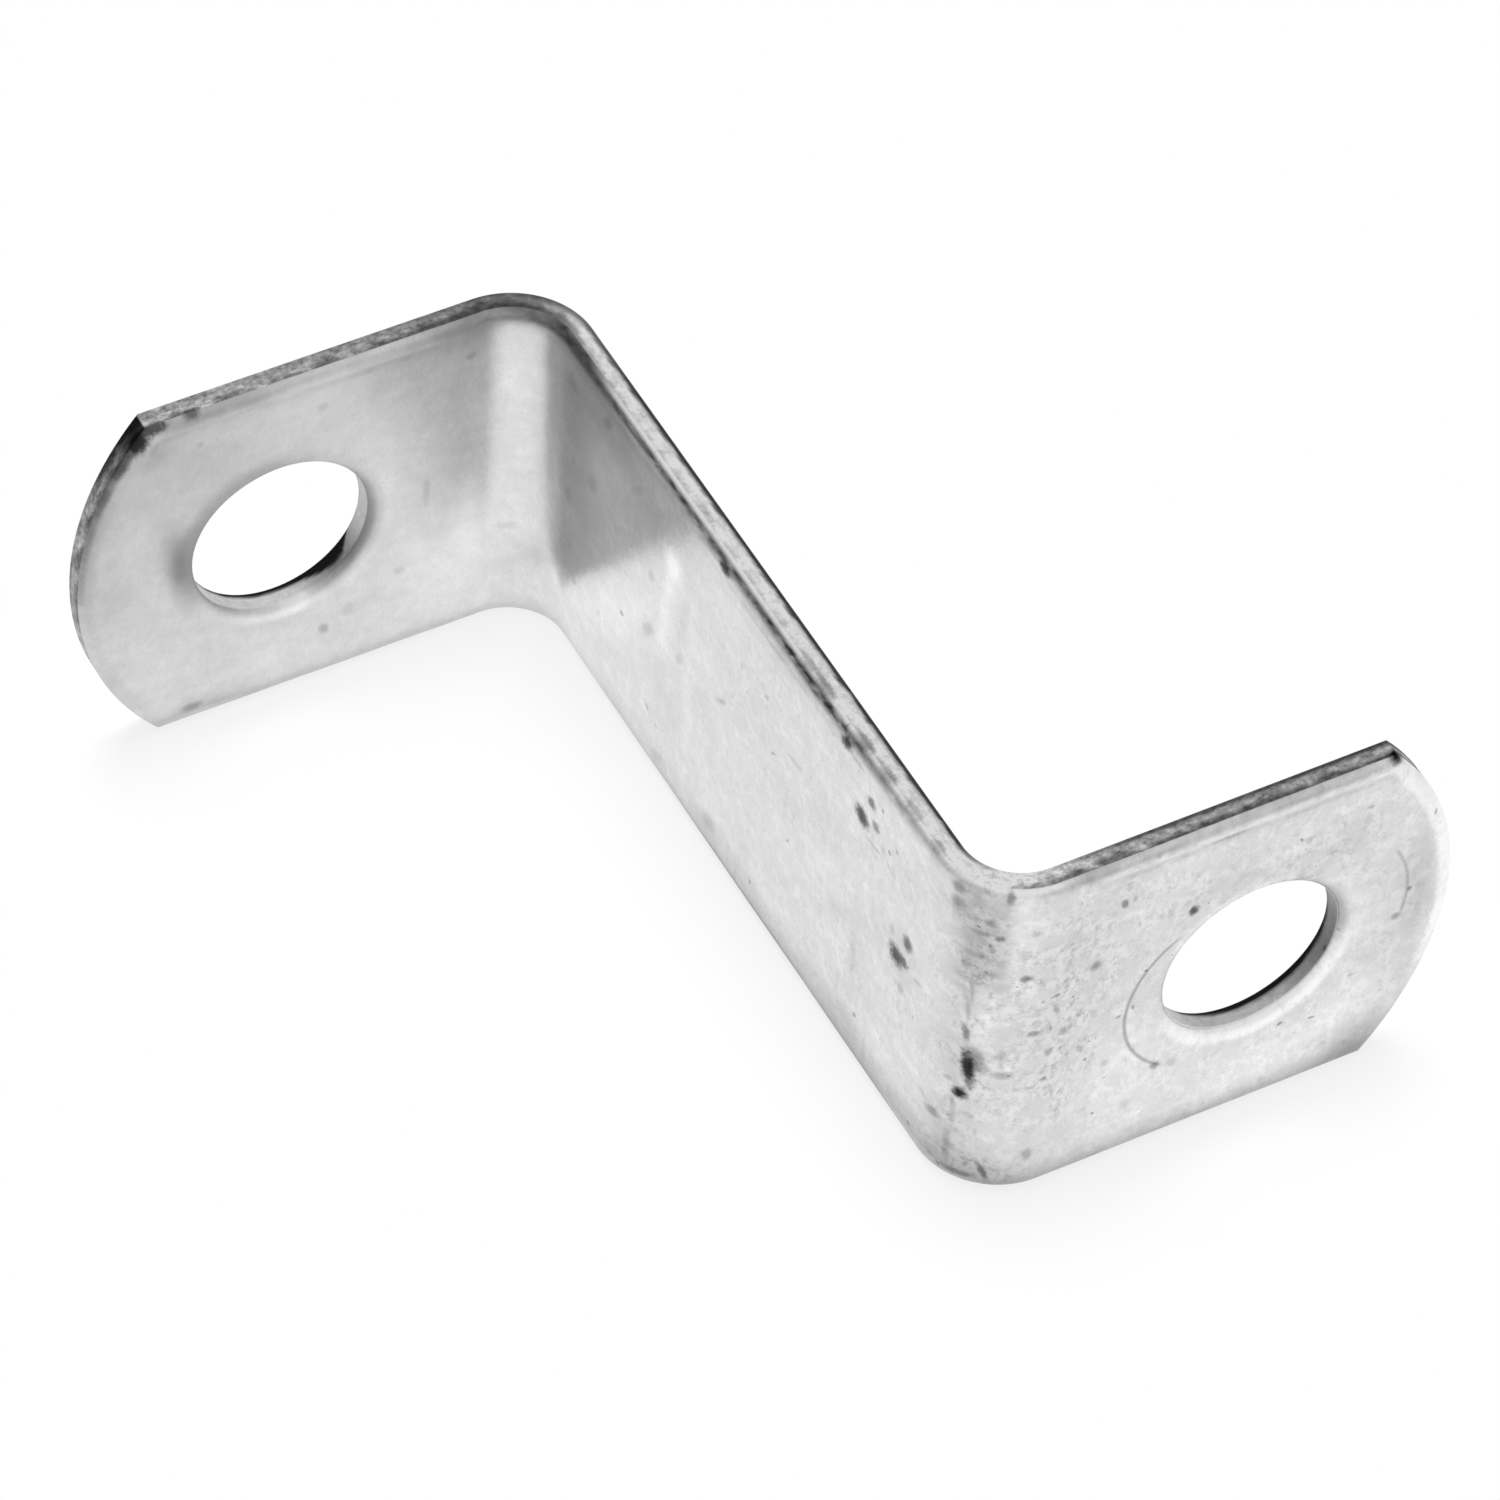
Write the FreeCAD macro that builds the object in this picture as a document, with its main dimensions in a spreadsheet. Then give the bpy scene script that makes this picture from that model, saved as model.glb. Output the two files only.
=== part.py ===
"""Z bracket bent from one length of galvanised strip.

The bracket stands on the long edge of its strip. The strip's width runs up Z,
the web runs along Y, and the two flanges leave it along X in opposite
directions, one at each end. The origin is in the middle of the web, level with
the lower edge, and half a turn about Z carries one flange onto the other.

The strip was blanked and punched from its front, the side that faces -Y on the
flanges and -X on the web, so every cut edge is rolled over on that side and
left crisp on the other.
"""
import FreeCAD, Part
import math
import os
import Sketcher

NODE = "z_bracket"

# The driving dimensions in millimetres, each with what it measures.
SIZES = [
    ("strip_width", 25.4, "width of the strip, 1 inch stock"),
    ("strip_thickness", 1.7, "thickness of the strip with its zinc"),
    ("bend_radius", 3.5, "inside radius of both bends"),
    ("bracket_offset", 55.0, "back of one flange to the front of the other"),
    ("flange_length", 31.3, "outside of a bend to the tip of its flange"),
    ("end_crown", 4.7, "how far a flange's tip stands out past its corners"),
    ("hole_diameter", 11.4, "bolt hole in each flange"),
    ("hole_setback", 13.0, "tip of a flange to the centre of its hole"),
    ("edge_roll", 0.5, "radius of the rolled edges on the punched side"),
    ("trim_margin", 2.0, "how far the end cut reaches past the strip"),
]

# The places that the sketches share, worked out from the driving dimensions.
HALF_WIDTH = "sizes.strip_width / 2"
TIP_REACH = "sizes.flange_length - sizes.strip_thickness / 2"
HOLE_REACH = "sizes.flange_length - sizes.strip_thickness / 2 - sizes.hole_setback"
CUT_DEPTH = "sizes.bracket_offset / 2 + sizes.trim_margin"
ROLL_RADIUS = "min(sizes.edge_roll; 0.45 * sizes.strip_thickness)"

# Numbers that the sketcher gives to a curve's own points, and to the sketch's
# horizontal axis, whose first point is the sketch's origin.
START, END, CENTRE = 1, 2, 3
AXIS, ORIGIN = -1, 1


def fill_sheet(doc):
    """Write the driving dimensions into a spreadsheet, one to a row."""
    sheet = doc.addObject("Spreadsheet::Sheet", "sizes")
    for row, (alias, value, meaning) in enumerate(SIZES, start=1):
        sheet.set(f"A{row}", meaning)
        sheet.set(f"B{row}", str(value))
        sheet.setAlias(f"B{row}", alias)
    doc.recompute()
    return sheet


def origin_item(body, role):
    """Find one of the body's own planes or axes by its role."""
    return next(item for item in body.Origin.OriginFeatures if item.Role == role)


def new_sketch(body, name, plane):
    """Add an empty sketch on one of the body's own planes."""
    sketch = body.newObject("Sketcher::SketchObject", name)
    sketch.AttachmentSupport = [(origin_item(body, plane), "")]
    sketch.MapMode = "FlatFace"
    return sketch


def line(sketch, start, end):
    """Draw a straight edge between two points given as pairs."""
    return sketch.addGeometry(Part.LineSegment(FreeCAD.Vector(*start), FreeCAD.Vector(*end)))


def arc(sketch, centre, radius, first, last):
    """Draw an arc, counter-clockwise between two angles in degrees."""
    circle = Part.Circle(FreeCAD.Vector(*centre), FreeCAD.Vector(0, 0, 1), radius)
    return sketch.addGeometry(Part.ArcOfCircle(circle, math.radians(first), math.radians(last)))


def tie(sketch, *relations):
    """Add plain relations, such as a tangent or a coincidence, to a sketch."""
    for relation in relations:
        sketch.addConstraint(Sketcher.Constraint(*relation))


def dimension(sketch, name, formula, kind, *places):
    """Add a named dimension that takes its value from the sheet.

    It starts from today's value, so that nothing already drawn is moved.
    """
    value = float(sketch.evalExpression(formula))
    measured = sketch.addConstraint(Sketcher.Constraint(kind, *places, value))
    sketch.renameConstraint(measured, name)
    sketch.setExpression(f"Constraints.{name}", formula)


def settle(sketch):
    """Solve a sketch and stop if anything in it is left free."""
    sketch.Document.recompute()
    if sketch.solve() != 0 or not sketch.FullyConstrained:
        raise RuntimeError(f"{sketch.Name} isn't fully constrained")


def draw_end(sketch, size, turn):
    """Draw one bend and its flange, turn being 1 at the left and -1 at the right.

    Both arcs of the bend share one centre, so the strip keeps its thickness
    round it. Returns the inner arc, the flange's inner face, its outer face and
    the outer arc.
    """
    half_web = size.strip_thickness / 2
    inside = size.bend_radius
    outside = inside + size.strip_thickness
    outer_face = size.bracket_offset / 2
    inner_face = outer_face - size.strip_thickness
    centre_x = -half_web - inside
    centre_y = inner_face - inside
    tip = half_web - size.flange_length
    first = 0 if turn == 1 else 180

    inner_arc = arc(sketch, (turn * centre_x, turn * centre_y), inside, first, first + 90)
    inner = line(sketch, (turn * centre_x, turn * inner_face), (turn * tip, turn * inner_face))
    end = line(sketch, (turn * tip, turn * inner_face), (turn * tip, turn * outer_face))
    outer = line(sketch, (turn * tip, turn * outer_face), (turn * centre_x, turn * outer_face))
    outer_arc = arc(sketch, (turn * centre_x, turn * centre_y), outside, first, first + 90)
    tie(
        sketch,
        ("Tangent", inner_arc, END, inner, START),
        ("Coincident", inner, END, end, START),
        ("Coincident", end, END, outer, START),
        ("Tangent", outer, END, outer_arc, END),
        ("Coincident", inner_arc, CENTRE, outer_arc, CENTRE),
        ("Horizontal", inner),
        ("Vertical", end),
        ("Horizontal", outer),
    )
    return inner_arc, inner, outer, outer_arc


def draw_section(body, size):
    """Draw the bent strip as it looks from above, a Z with rounded bends."""
    sketch = new_sketch(body, "bent_section", "XY_Plane")
    half_web = size.strip_thickness / 2
    bend_y = size.bracket_offset / 2 - size.strip_thickness - size.bend_radius
    web_front = line(sketch, (-half_web, -bend_y), (-half_web, bend_y))
    web_back = line(sketch, (half_web, bend_y), (half_web, -bend_y))
    left_inner_arc, left_inner, left_outer, left_outer_arc = draw_end(sketch, size, 1)
    right_inner_arc, right_inner, right_outer, right_outer_arc = draw_end(sketch, size, -1)
    tie(
        sketch,
        ("Tangent", web_front, END, left_inner_arc, START),
        ("Tangent", left_outer_arc, START, web_back, START),
        ("Tangent", web_back, END, right_inner_arc, START),
        ("Tangent", right_outer_arc, START, web_front, START),
        ("Vertical", web_front),
        ("Vertical", web_back),
        ("Symmetric", web_front, START, web_back, START, AXIS, ORIGIN),
        ("Equal", left_inner_arc, right_inner_arc),
        ("Equal", left_inner, right_inner),
    )
    dimension(sketch, "thickness", "sizes.strip_thickness", "DistanceX", web_front, END, web_back, START)
    dimension(sketch, "bend", "sizes.bend_radius", "Radius", left_inner_arc)
    dimension(sketch, "offset", "sizes.bracket_offset", "DistanceY", right_outer, START, left_outer, START)
    dimension(sketch, "flange", "sizes.flange_length", "DistanceX", left_outer, START, web_back, START)
    settle(sketch)
    return sketch


def bent_strip(body, size):
    """Raise the section to the full width of the strip."""
    pad = body.newObject("PartDesign::Pad", "bent_strip")
    pad.Profile = draw_section(body, size)
    pad.setExpression("Length", "sizes.strip_width")
    return pad


def draw_end_cut(body, size):
    """Draw what the curved end cut takes away, seen from the front.

    One arc runs from the lower corner of the flange, through its tip, to the
    upper corner. The other edges stay clear of the strip.
    """
    sketch = new_sketch(body, "end_cut_outline", "XZ_Plane")
    half_width = size.strip_width / 2
    tip_x = size.strip_thickness / 2 - size.flange_length
    corner_x = tip_x + size.end_crown
    radius = (size.end_crown**2 + half_width**2) / (2 * size.end_crown)
    spread = math.degrees(math.asin(half_width / radius))
    left = tip_x - size.trim_margin
    low = -size.trim_margin
    high = size.strip_width + size.trim_margin

    curve = arc(sketch, (tip_x + radius, half_width), radius, 180 - spread, 180 + spread)
    tip = sketch.addGeometry(Part.Point(FreeCAD.Vector(tip_x, half_width, 0)))
    below = line(sketch, (corner_x, 0), (corner_x, low))
    bottom = line(sketch, (corner_x, low), (left, low))
    outer = line(sketch, (left, low), (left, high))
    top = line(sketch, (left, high), (corner_x, high))
    above = line(sketch, (corner_x, high), (corner_x, size.strip_width))
    sketch.toggleConstruction(tip)
    tie(
        sketch,
        ("Coincident", curve, END, below, START),
        ("Coincident", below, END, bottom, START),
        ("Coincident", bottom, END, outer, START),
        ("Coincident", outer, END, top, START),
        ("Coincident", top, END, above, START),
        ("Coincident", above, END, curve, START),
        ("Vertical", below),
        ("Horizontal", bottom),
        ("Vertical", outer),
        ("Horizontal", top),
        ("Vertical", above),
        ("Equal", below, above),
        ("Vertical", curve, START, curve, END),
        ("PointOnObject", tip, START, curve),
        ("Horizontal", tip, START, curve, CENTRE),
        ("PointOnObject", curve, END, AXIS),
    )
    dimension(sketch, "reach", TIP_REACH, "DistanceX", tip, START, AXIS, ORIGIN)
    dimension(sketch, "middle", HALF_WIDTH, "DistanceY", AXIS, ORIGIN, tip, START)
    dimension(sketch, "crown", "sizes.end_crown", "DistanceX", tip, START, curve, END)
    dimension(sketch, "margin", "sizes.trim_margin", "DistanceY", below, END, below, START)
    dimension(sketch, "clear", "sizes.trim_margin", "DistanceX", outer, START, tip, START)
    settle(sketch)
    return sketch


def draw_hole(body, size):
    """Draw the bolt hole on the flange's centre line, seen from the front."""
    sketch = new_sketch(body, "hole_outline", "XZ_Plane")
    centre_x = size.strip_thickness / 2 - size.flange_length + size.hole_setback
    centre = FreeCAD.Vector(centre_x, size.strip_width / 2, 0)
    circle = Part.Circle(centre, FreeCAD.Vector(0, 0, 1), size.hole_diameter / 2)
    hole = sketch.addGeometry(circle)
    dimension(sketch, "reach", HOLE_REACH, "DistanceX", hole, CENTRE, AXIS, ORIGIN)
    dimension(sketch, "middle", HALF_WIDTH, "DistanceY", AXIS, ORIGIN, hole, CENTRE)
    dimension(sketch, "bore", "sizes.hole_diameter", "Diameter", hole)
    settle(sketch)
    return sketch


def punch(body, name, outline):
    """Cut an outline through the left flange, from the web's middle outwards."""
    before = body.Shape.Volume
    cut = body.newObject("PartDesign::Pocket", name)
    cut.Profile = outline
    cut.setExpression("Length", CUT_DEPTH)
    body.Document.recompute()
    if not cut.Shape.Volume < before:
        raise RuntimeError(f"{name} took nothing away")
    return cut


def repeat_half_turn(body, cuts):
    """Repeat the left flange's cuts on the right one, half a turn about Z."""
    pattern = body.newObject("PartDesign::PolarPattern", "both_flanges")
    pattern.Originals = cuts
    pattern.Axis = (origin_item(body, "Z_Axis"), [""])
    pattern.Angle = 360
    pattern.Occurrences = 2
    body.Tip = pattern
    body.Document.recompute()
    return pattern


def is_front(face, size):
    """Say whether a face is part of the strip's punched side."""
    surface = face.Surface
    if isinstance(surface, Part.Plane):
        normal = face.normalAt(0, 0)
        return min(normal.x, normal.y) < -0.5
    if isinstance(surface, Part.Cylinder) and abs(surface.Axis.z) > 0.5:
        at_left_bend = surface.Center.y > 0
        inside_of_bend = surface.Radius < size.bend_radius + size.strip_thickness / 2
        return at_left_bend == inside_of_bend
    return False


def roll_edges(body, pattern, size):
    """Round every cut edge of the punched side, the holes' rims included."""
    shape = pattern.Shape
    rims = []
    for index, edge in enumerate(shape.Edges, start=1):
        fronts = [is_front(face, size) for face in shape.ancestorsOfType(edge, Part.Face)]
        if fronts.count(True) == 1:
            rims.append(f"Edge{index}")
    roll = body.newObject("PartDesign::Fillet", "edge_roll")
    roll.Base = (pattern, rims)
    roll.setExpression("Radius", ROLL_RADIUS)
    body.Tip = roll
    return roll


def check_document(doc):
    """Stop if any object failed, because a recompute alone stays silent."""
    doc.recompute()
    for item in doc.Objects:
        if "Invalid" in item.State or "Error" in item.State:
            raise RuntimeError(f"{item.Name} failed: {item.State}")


def write_step(body):
    """Write the finished solid to the file that bears its name."""
    shape = body.Shape
    if shape.isNull() or not shape.isValid() or len(shape.Solids) != 1:
        raise RuntimeError(f"{body.Label} isn't one sound solid")
    os.makedirs("parts", exist_ok=True)
    shape.exportStep(f"parts/{body.Label}.step")
    box = shape.optimalBoundingBox(False, False)
    print(f"{body.Label}: {shape.Volume:.1f} mm3, {box.XLength:.2f} x {box.YLength:.2f} x {box.ZLength:.2f} mm")


def main():
    """Build the bracket, check it and write its file."""
    doc = FreeCAD.newDocument(NODE)
    size = fill_sheet(doc)
    body = doc.addObject("PartDesign::Body", NODE)
    body.Label = NODE
    bent_strip(body, size)
    doc.recompute()
    end_cut = punch(body, "end_cut", draw_end_cut(body, size))
    bolt_hole = punch(body, "bolt_hole", draw_hole(body, size))
    pattern = repeat_half_turn(body, [end_cut, bolt_hole])
    roll_edges(body, pattern, size)
    check_document(doc)
    write_step(body)


main()
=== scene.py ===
"""Looks of the z bracket: one zinc coated steel strip with two square bends.

The strip is worked out flat, in millimetres, in three directions: along its
length, across its width and up through its thickness. It is then carried round
its two bends into the frame's metres. Front means the side that the punch met,
whose cut edges are rolled over.
"""

import logging
import math
from dataclasses import astuple, dataclass, field, replace
from enum import Enum, IntEnum

import bpy
import numpy as np
from mathutils import Matrix, Vector


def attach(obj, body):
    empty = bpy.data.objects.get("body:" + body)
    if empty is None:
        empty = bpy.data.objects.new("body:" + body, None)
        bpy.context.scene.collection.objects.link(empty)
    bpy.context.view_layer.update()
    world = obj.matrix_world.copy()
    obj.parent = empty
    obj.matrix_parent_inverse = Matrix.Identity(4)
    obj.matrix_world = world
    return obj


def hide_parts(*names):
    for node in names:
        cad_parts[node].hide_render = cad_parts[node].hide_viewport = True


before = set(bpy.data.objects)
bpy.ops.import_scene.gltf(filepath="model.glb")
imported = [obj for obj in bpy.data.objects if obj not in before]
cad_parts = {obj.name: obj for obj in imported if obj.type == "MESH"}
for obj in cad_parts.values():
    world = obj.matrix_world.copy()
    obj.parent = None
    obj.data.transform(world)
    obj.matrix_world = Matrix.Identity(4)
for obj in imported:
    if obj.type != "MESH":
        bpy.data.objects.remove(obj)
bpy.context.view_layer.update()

LOG = logging.getLogger("z_bracket")
NODE = "z_bracket"
MM = 0.001
SHEET_SPAN = 120.0
SHEET_SHIFT = 60.0
SHEET_RISE = 5.0
BACK_SHIFT = 45.0
DARKEST = 0.012
BRIGHTEST = 0.98
CORNER_STEPS = (2.3, 1.5, 0.9, 0.5, 0.2, 0.0)
Socket = bpy.types.NodeSocket
Term = bpy.types.NodeSocket | float


class Skin(Enum):
    """The three kinds of surface on the strip."""

    FRONT = 1.0
    WALL = 0.5
    BACK = 0.0


class Column(IntEnum):
    """What each column of the joined points holds."""

    ALONG = 0
    ACROSS = 1
    UP = 2
    EDGE = 3
    WALL = 4
    SKIN = 5
    OUT_ALONG = 6
    OUT_ACROSS = 7


@dataclass(frozen=True)
class StripSizes:
    """Sizes of the bent strip in millimetres, the same as the solid's."""

    width: float = 25.4
    thickness: float = 1.7
    bend_radius: float = 3.5
    offset: float = 55.0
    flange_length: float = 31.3
    end_crown: float = 4.7
    hole_radius: float = 5.7
    hole_setback: float = 13.0
    roll_width: float = 0.95
    roll_drop: float = 0.42
    shoulder_drop: float = 0.04
    band: float = 1.8
    crisp_edge: float = 0.05

    @property
    def half_thickness(self) -> float:
        """Half the thickness, from the middle of the metal to a skin."""
        return self.thickness / 2

    @property
    def mid_radius(self) -> float:
        """Radius of a bend at the middle of the metal."""
        return self.bend_radius + self.half_thickness

    @property
    def half_web(self) -> float:
        """From the middle of the web to where either bend starts."""
        return self.offset / 2 - self.thickness - self.bend_radius

    @property
    def bend_end(self) -> float:
        """Along the strip, from its middle to where a flange starts."""
        return self.half_web + self.mid_radius * math.pi / 2

    @property
    def tip(self) -> float:
        """Along the strip, from its middle to the tip of a flange."""
        return self.bend_end + self.flange_length - self.half_thickness - self.mid_radius

    @property
    def hole(self) -> float:
        """Along the strip, from its middle to the centre of a hole."""
        return self.tip - self.hole_setback

    @property
    def corner(self) -> float:
        """Along the strip, from its middle to the corners of a flange."""
        return self.tip - self.end_crown

    @property
    def end_radius(self) -> float:
        """Radius of the curved end: (crown squared + half width squared) over twice the crown."""
        half = self.width / 2
        return (self.end_crown**2 + half**2) / (2 * self.end_crown)

    def off_hole(self, along: np.ndarray, across: np.ndarray) -> np.ndarray:
        """Measure how far points are outside the nearer hole."""
        return np.hypot(np.abs(along) - self.hole, across - self.width / 2) - self.hole_radius

    def hole_turn(self, along: np.ndarray, across: np.ndarray) -> np.ndarray:
        """Give the direction of points from the nearer hole's middle, in degrees."""
        return np.degrees(np.arctan2(across - self.width / 2, along - np.sign(along) * self.hole))


@dataclass(frozen=True)
class Oval:
    """An oval on the flat strip, by its middle and half lengths, turned in degrees."""

    along: float | np.ndarray
    across: float | np.ndarray
    long: float | np.ndarray
    wide: float | np.ndarray
    turn: float | np.ndarray

    def seen(self, along: np.ndarray, across: np.ndarray) -> tuple[np.ndarray, np.ndarray]:
        """Give points as seen from the oval's middle, in its own half lengths.

        Args:
            along: Distance along the strip.
            across: Distance across it.

        Returns:
            How far off each point is in the long and in the wide direction.
        """
        turn = np.radians(self.turn)
        off_along, off_across = along - self.along, across - self.across
        first = off_along * np.cos(turn) + off_across * np.sin(turn)
        second = off_across * np.cos(turn) - off_along * np.sin(turn)
        return first / self.long, second / self.wide

    def reach(self, along: np.ndarray, across: np.ndarray) -> np.ndarray:
        """Measure how far out points are, where 1 is on the oval."""
        return np.hypot(*self.seen(along, across))

    def share(self, along: np.ndarray, across: np.ndarray) -> np.ndarray:
        """Fade out from the middle: e to the minus square of the reach."""
        return np.exp(-self.reach(along, across) ** 2)


@dataclass(frozen=True)
class Mark(Oval):
    """A small mark with a border. Tone is the share of light it takes, below 0 for a light one.

    A place past the strip's width lies on the upper wall, laid out flat.
    """

    tone: float | np.ndarray


@dataclass(frozen=True)
class StainAndSheen(Oval):
    """A soft lighter or darker area. Some are real stains and worn areas, some painted light and shade.
    Gain is the share of light it adds.
    """

    gain: float


@dataclass(frozen=True)
class Dent(Oval):
    """A shallow hollow in the front. Deep is its depth in the middle, in millimetres."""

    deep: float


SPECKS_AND_SHADE = tuple(Mark(*row) for row in (
    (-47.4, 23.0, 0.30, 0.28, 0, 0.16),
    (-39.6, 22.6, 0.32, 0.36, 0, 0.14),
    (-39.7, 3.9, 0.36, 0.50, 20, 0.30),
    (-38.0, 4.8, 0.50, 0.60, 0, 0.14),
    (-34.7, 6.6, 0.45, 0.30, -30, 0.14),
    (-32.9, 12.6, 0.28, 1.30, 0, 0.16),
    (-30.0, 22.6, 0.38, 0.32, 0, 0.24),
    (-48.4, 1.2, 0.70, 0.35, 0, 0.34),
    (-27.2, 7.6, 0.90, 0.35, 0, 0.14),
    (-16.9, 23.2, 0.45, 0.75, -35, 0.26),
    (-18.6, 16.6, 0.55, 0.90, -35, 0.20),
    (-21.6, 13.0, 0.45, 0.80, -30, 0.18),
    (-21.4, 22.4, 0.70, 0.90, -30, 0.22),
    (-13.0, 21.2, 0.35, 1.10, -40, 0.14),
    (-11.3, 11.2, 0.45, 1.20, -40, 0.18),
    (-11.1, 15.9, 0.35, 0.60, -20, 0.20),
    (-7.4, 12.4, 0.35, 0.70, -30, 0.16),
    (-9.6, 1.7, 0.90, 0.50, 20, 0.18),
    (-3.2, 2.4, 0.80, 0.60, 30, 0.22),
    (-2.0, 14.0, 0.55, 0.22, 40, 0.20),
    (-2.5, 24.6, 0.70, 0.45, 0, 0.90),
    (6.7, 25.62, 1.00, 0.38, 0, 0.44),
    (8.6, 25.60, 1.10, 0.42, 0, 0.52),
    (13.3, 25.60, 1.00, 0.46, 0, 0.56),
    (15.8, 25.60, 1.00, 0.40, 0, 0.44),
    (18.8, 25.60, 1.10, 0.36, 0, 0.36),
    (21.7, 25.55, 0.80, 0.34, 0, 0.34),
    (-6.5, 25.9, 0.60, 0.30, 0, 0.24),
    (3.0, 19.3, 0.35, 0.22, 40, 0.26),
    (0.0, 19.0, 0.20, 0.40, -20, 0.14),
    (-2.4, 13.7, 0.60, 0.26, 35, 0.18),
    (6.6, 17.3, 1.10, 0.16, 8, 0.18),
    (12.1, 24.5, 0.70, 0.50, 30, 0.97),
    (13.5, 24.2, 0.90, 0.22, 0, 0.30),
    (15.2, 22.6, 0.52, 0.46, 20, 0.74),
    (14.2, 20.5, 0.86, 0.74, -25, 0.98),
    (15.8, 21.2, 0.50, 0.40, 15, 0.60),
    (15.6, 19.5, 1.00, 0.20, 5, 0.24),
    (16.7, 20.2, 0.30, 0.45, 0, 0.18),
    (20.0, 15.6, 0.55, 0.70, -15, 0.80),
    (18.85, 13.5, 0.85, 0.85, -30, 0.95),
    (19.7, 13.75, 0.50, 0.50, 20, 0.80),
    (19.6, 11.4, 0.35, 0.50, -20, 0.28),
    (18.3, 15.1, 0.30, 0.45, 0, 0.20),
    (21.3, 13.7, 0.70, 0.20, 20, 0.20),
    (23.4, 4.9, 0.52, 0.42, 0, 0.46),
    (22.6, 5.6, 0.50, 0.22, -30, 0.20),
    (24.0, 24.6, 0.45, 0.45, 0, 0.42),
    (24.1, 23.5, 0.40, 0.55, 0, 0.38),
    (25.7, 22.8, 0.30, 0.34, 0, 0.40),
    (25.4, 21.8, 0.45, 0.25, 0, 0.32),
    (24.7, 18.7, 0.25, 0.40, 0, 0.26),
    (26.6, 25.0, 0.22, 0.40, 0, 0.46),
    (23.9, 23.3, 0.28, 0.80, 10, 0.22),
    (25.2, 19.9, 0.60, 0.30, 0, 0.22),
    (25.9, 18.6, 0.50, 0.40, 0, 0.18),
    (25.18, 10.15, 0.42, 1.60, 6, 0.96),
    (25.55, 11.0, 0.55, 1.10, 14, 0.50),
    (24.95, 13.2, 0.24, 0.90, 8, 0.44),
    (24.86, 7.75, 0.46, 0.50, 0, 0.97),
    (26.2, 16.2, 0.22, 0.30, 0, -0.16),
    (25.9, 15.0, 0.18, 0.30, 20, -0.14),
    (26.9, 14.6, 0.20, 0.22, 0, -0.14),
    (27.1, 10.7, 0.20, 0.26, 0, -0.14),
    (50.6, 25.5, 0.70, 0.60, 0, 0.98),
    # The next four marks, on the left end's upper roll and its top corner, are painted shade.
    (-51.2, 24.5, 1.10, 0.62, 50, 0.90),
    (-50.0, 25.3, 0.85, 0.36, 0, 0.80),
    (-52.3, 22.9, 1.00, 0.36, 55, 0.62),
    (-53.4, 20.8, 1.20, 0.26, 62, 0.34),
    (-47.7, 25.45, 0.55, 0.40, 0, 0.62),
    (-48.6, 26.5, 0.60, 0.30, 0, 0.30),
    (24.2, 8.6, 0.36, 0.24, 0, 0.26),
    (25.10, 17.0, 0.14, 1.30, 3, 0.26),
    (25.00, 15.0, 0.16, 1.00, 2, 0.28),
    (24.60, 6.0, 0.20, 1.40, 0, 0.20),
    (24.40, 2.9, 0.24, 1.80, 2, 0.26),
    (26.9, 10.1, 0.55, 0.35, 0, 0.36),
    (26.7, 11.8, 0.45, 0.25, 30, 0.24),
    (26.3, 1.5, 0.20, 0.95, 20, 0.60),
    (25.0, 0.9, 1.10, 0.30, 0, 0.52),
    (28.4, 2.95, 0.28, 0.60, 0, 0.30),
    (27.9, 22.1, 0.26, 0.26, 0, 0.26),
    (28.15, 13.6, 0.30, 0.30, 30, 0.46),
    (29.9, 13.0, 0.30, 0.34, 0, 0.36),
    (29.1, 11.6, 0.26, 0.36, -20, 0.40),
    (29.3, 15.2, 0.18, 0.65, 20, 0.30),
    (31.1, 10.8, 0.22, 0.50, 20, 0.22),
    (31.65, 17.65, 0.36, 0.40, 0, 0.50),
    (33.15, 22.1, 0.26, 0.42, 20, 0.56),
    (33.8, 22.2, 0.20, 0.28, 0, 0.30),
    (33.4, 23.3, 0.18, 0.30, 0, 0.24),
    (37.8, 19.15, 0.34, 0.42, 0, 0.84),
    (32.8, 8.6, 0.36, 0.36, 0, 0.16),
    (34.5, 4.1, 0.36, 0.50, 0, 0.14),
    (36.25, 6.6, 0.34, 0.36, 0, 0.50),
    (37.4, 6.3, 0.38, 0.45, 0, 0.18),
    (39.8, 24.4, 1.40, 0.14, 0, 0.26),
    (45.0, 21.5, 0.28, 0.36, 0, 0.24),
    (48.9, 21.2, 0.40, 0.50, 0, 0.16),
    (51.6, 11.7, 0.34, 0.30, -30, 0.42),
))


@dataclass(frozen=True)
class Scratch:
    """Part of a circle scratched into the front, in millimetres and degrees."""

    along: float
    across: float
    radius: float
    middle: float
    sweep: float
    wide: float
    tone: float


SCRATCHES = (
    Scratch(40.3, 11.7, 6.38, 178.0, 62.0, 0.13, 0.42),
    Scratch(45.0, 13.8, 7.15, 8.0, 26.0, 0.13, 0.28),
)

# Stains, and painted light and shade. The bright spot below the left hole is a painted highlight; the
# bright patches low on the left flange and on the web's lower left are painted reflections; the dark
# patches at the top of the web beside the left bend paint the left flange's reflection; the dark band
# down the left end is painted shade on its roll.
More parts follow.
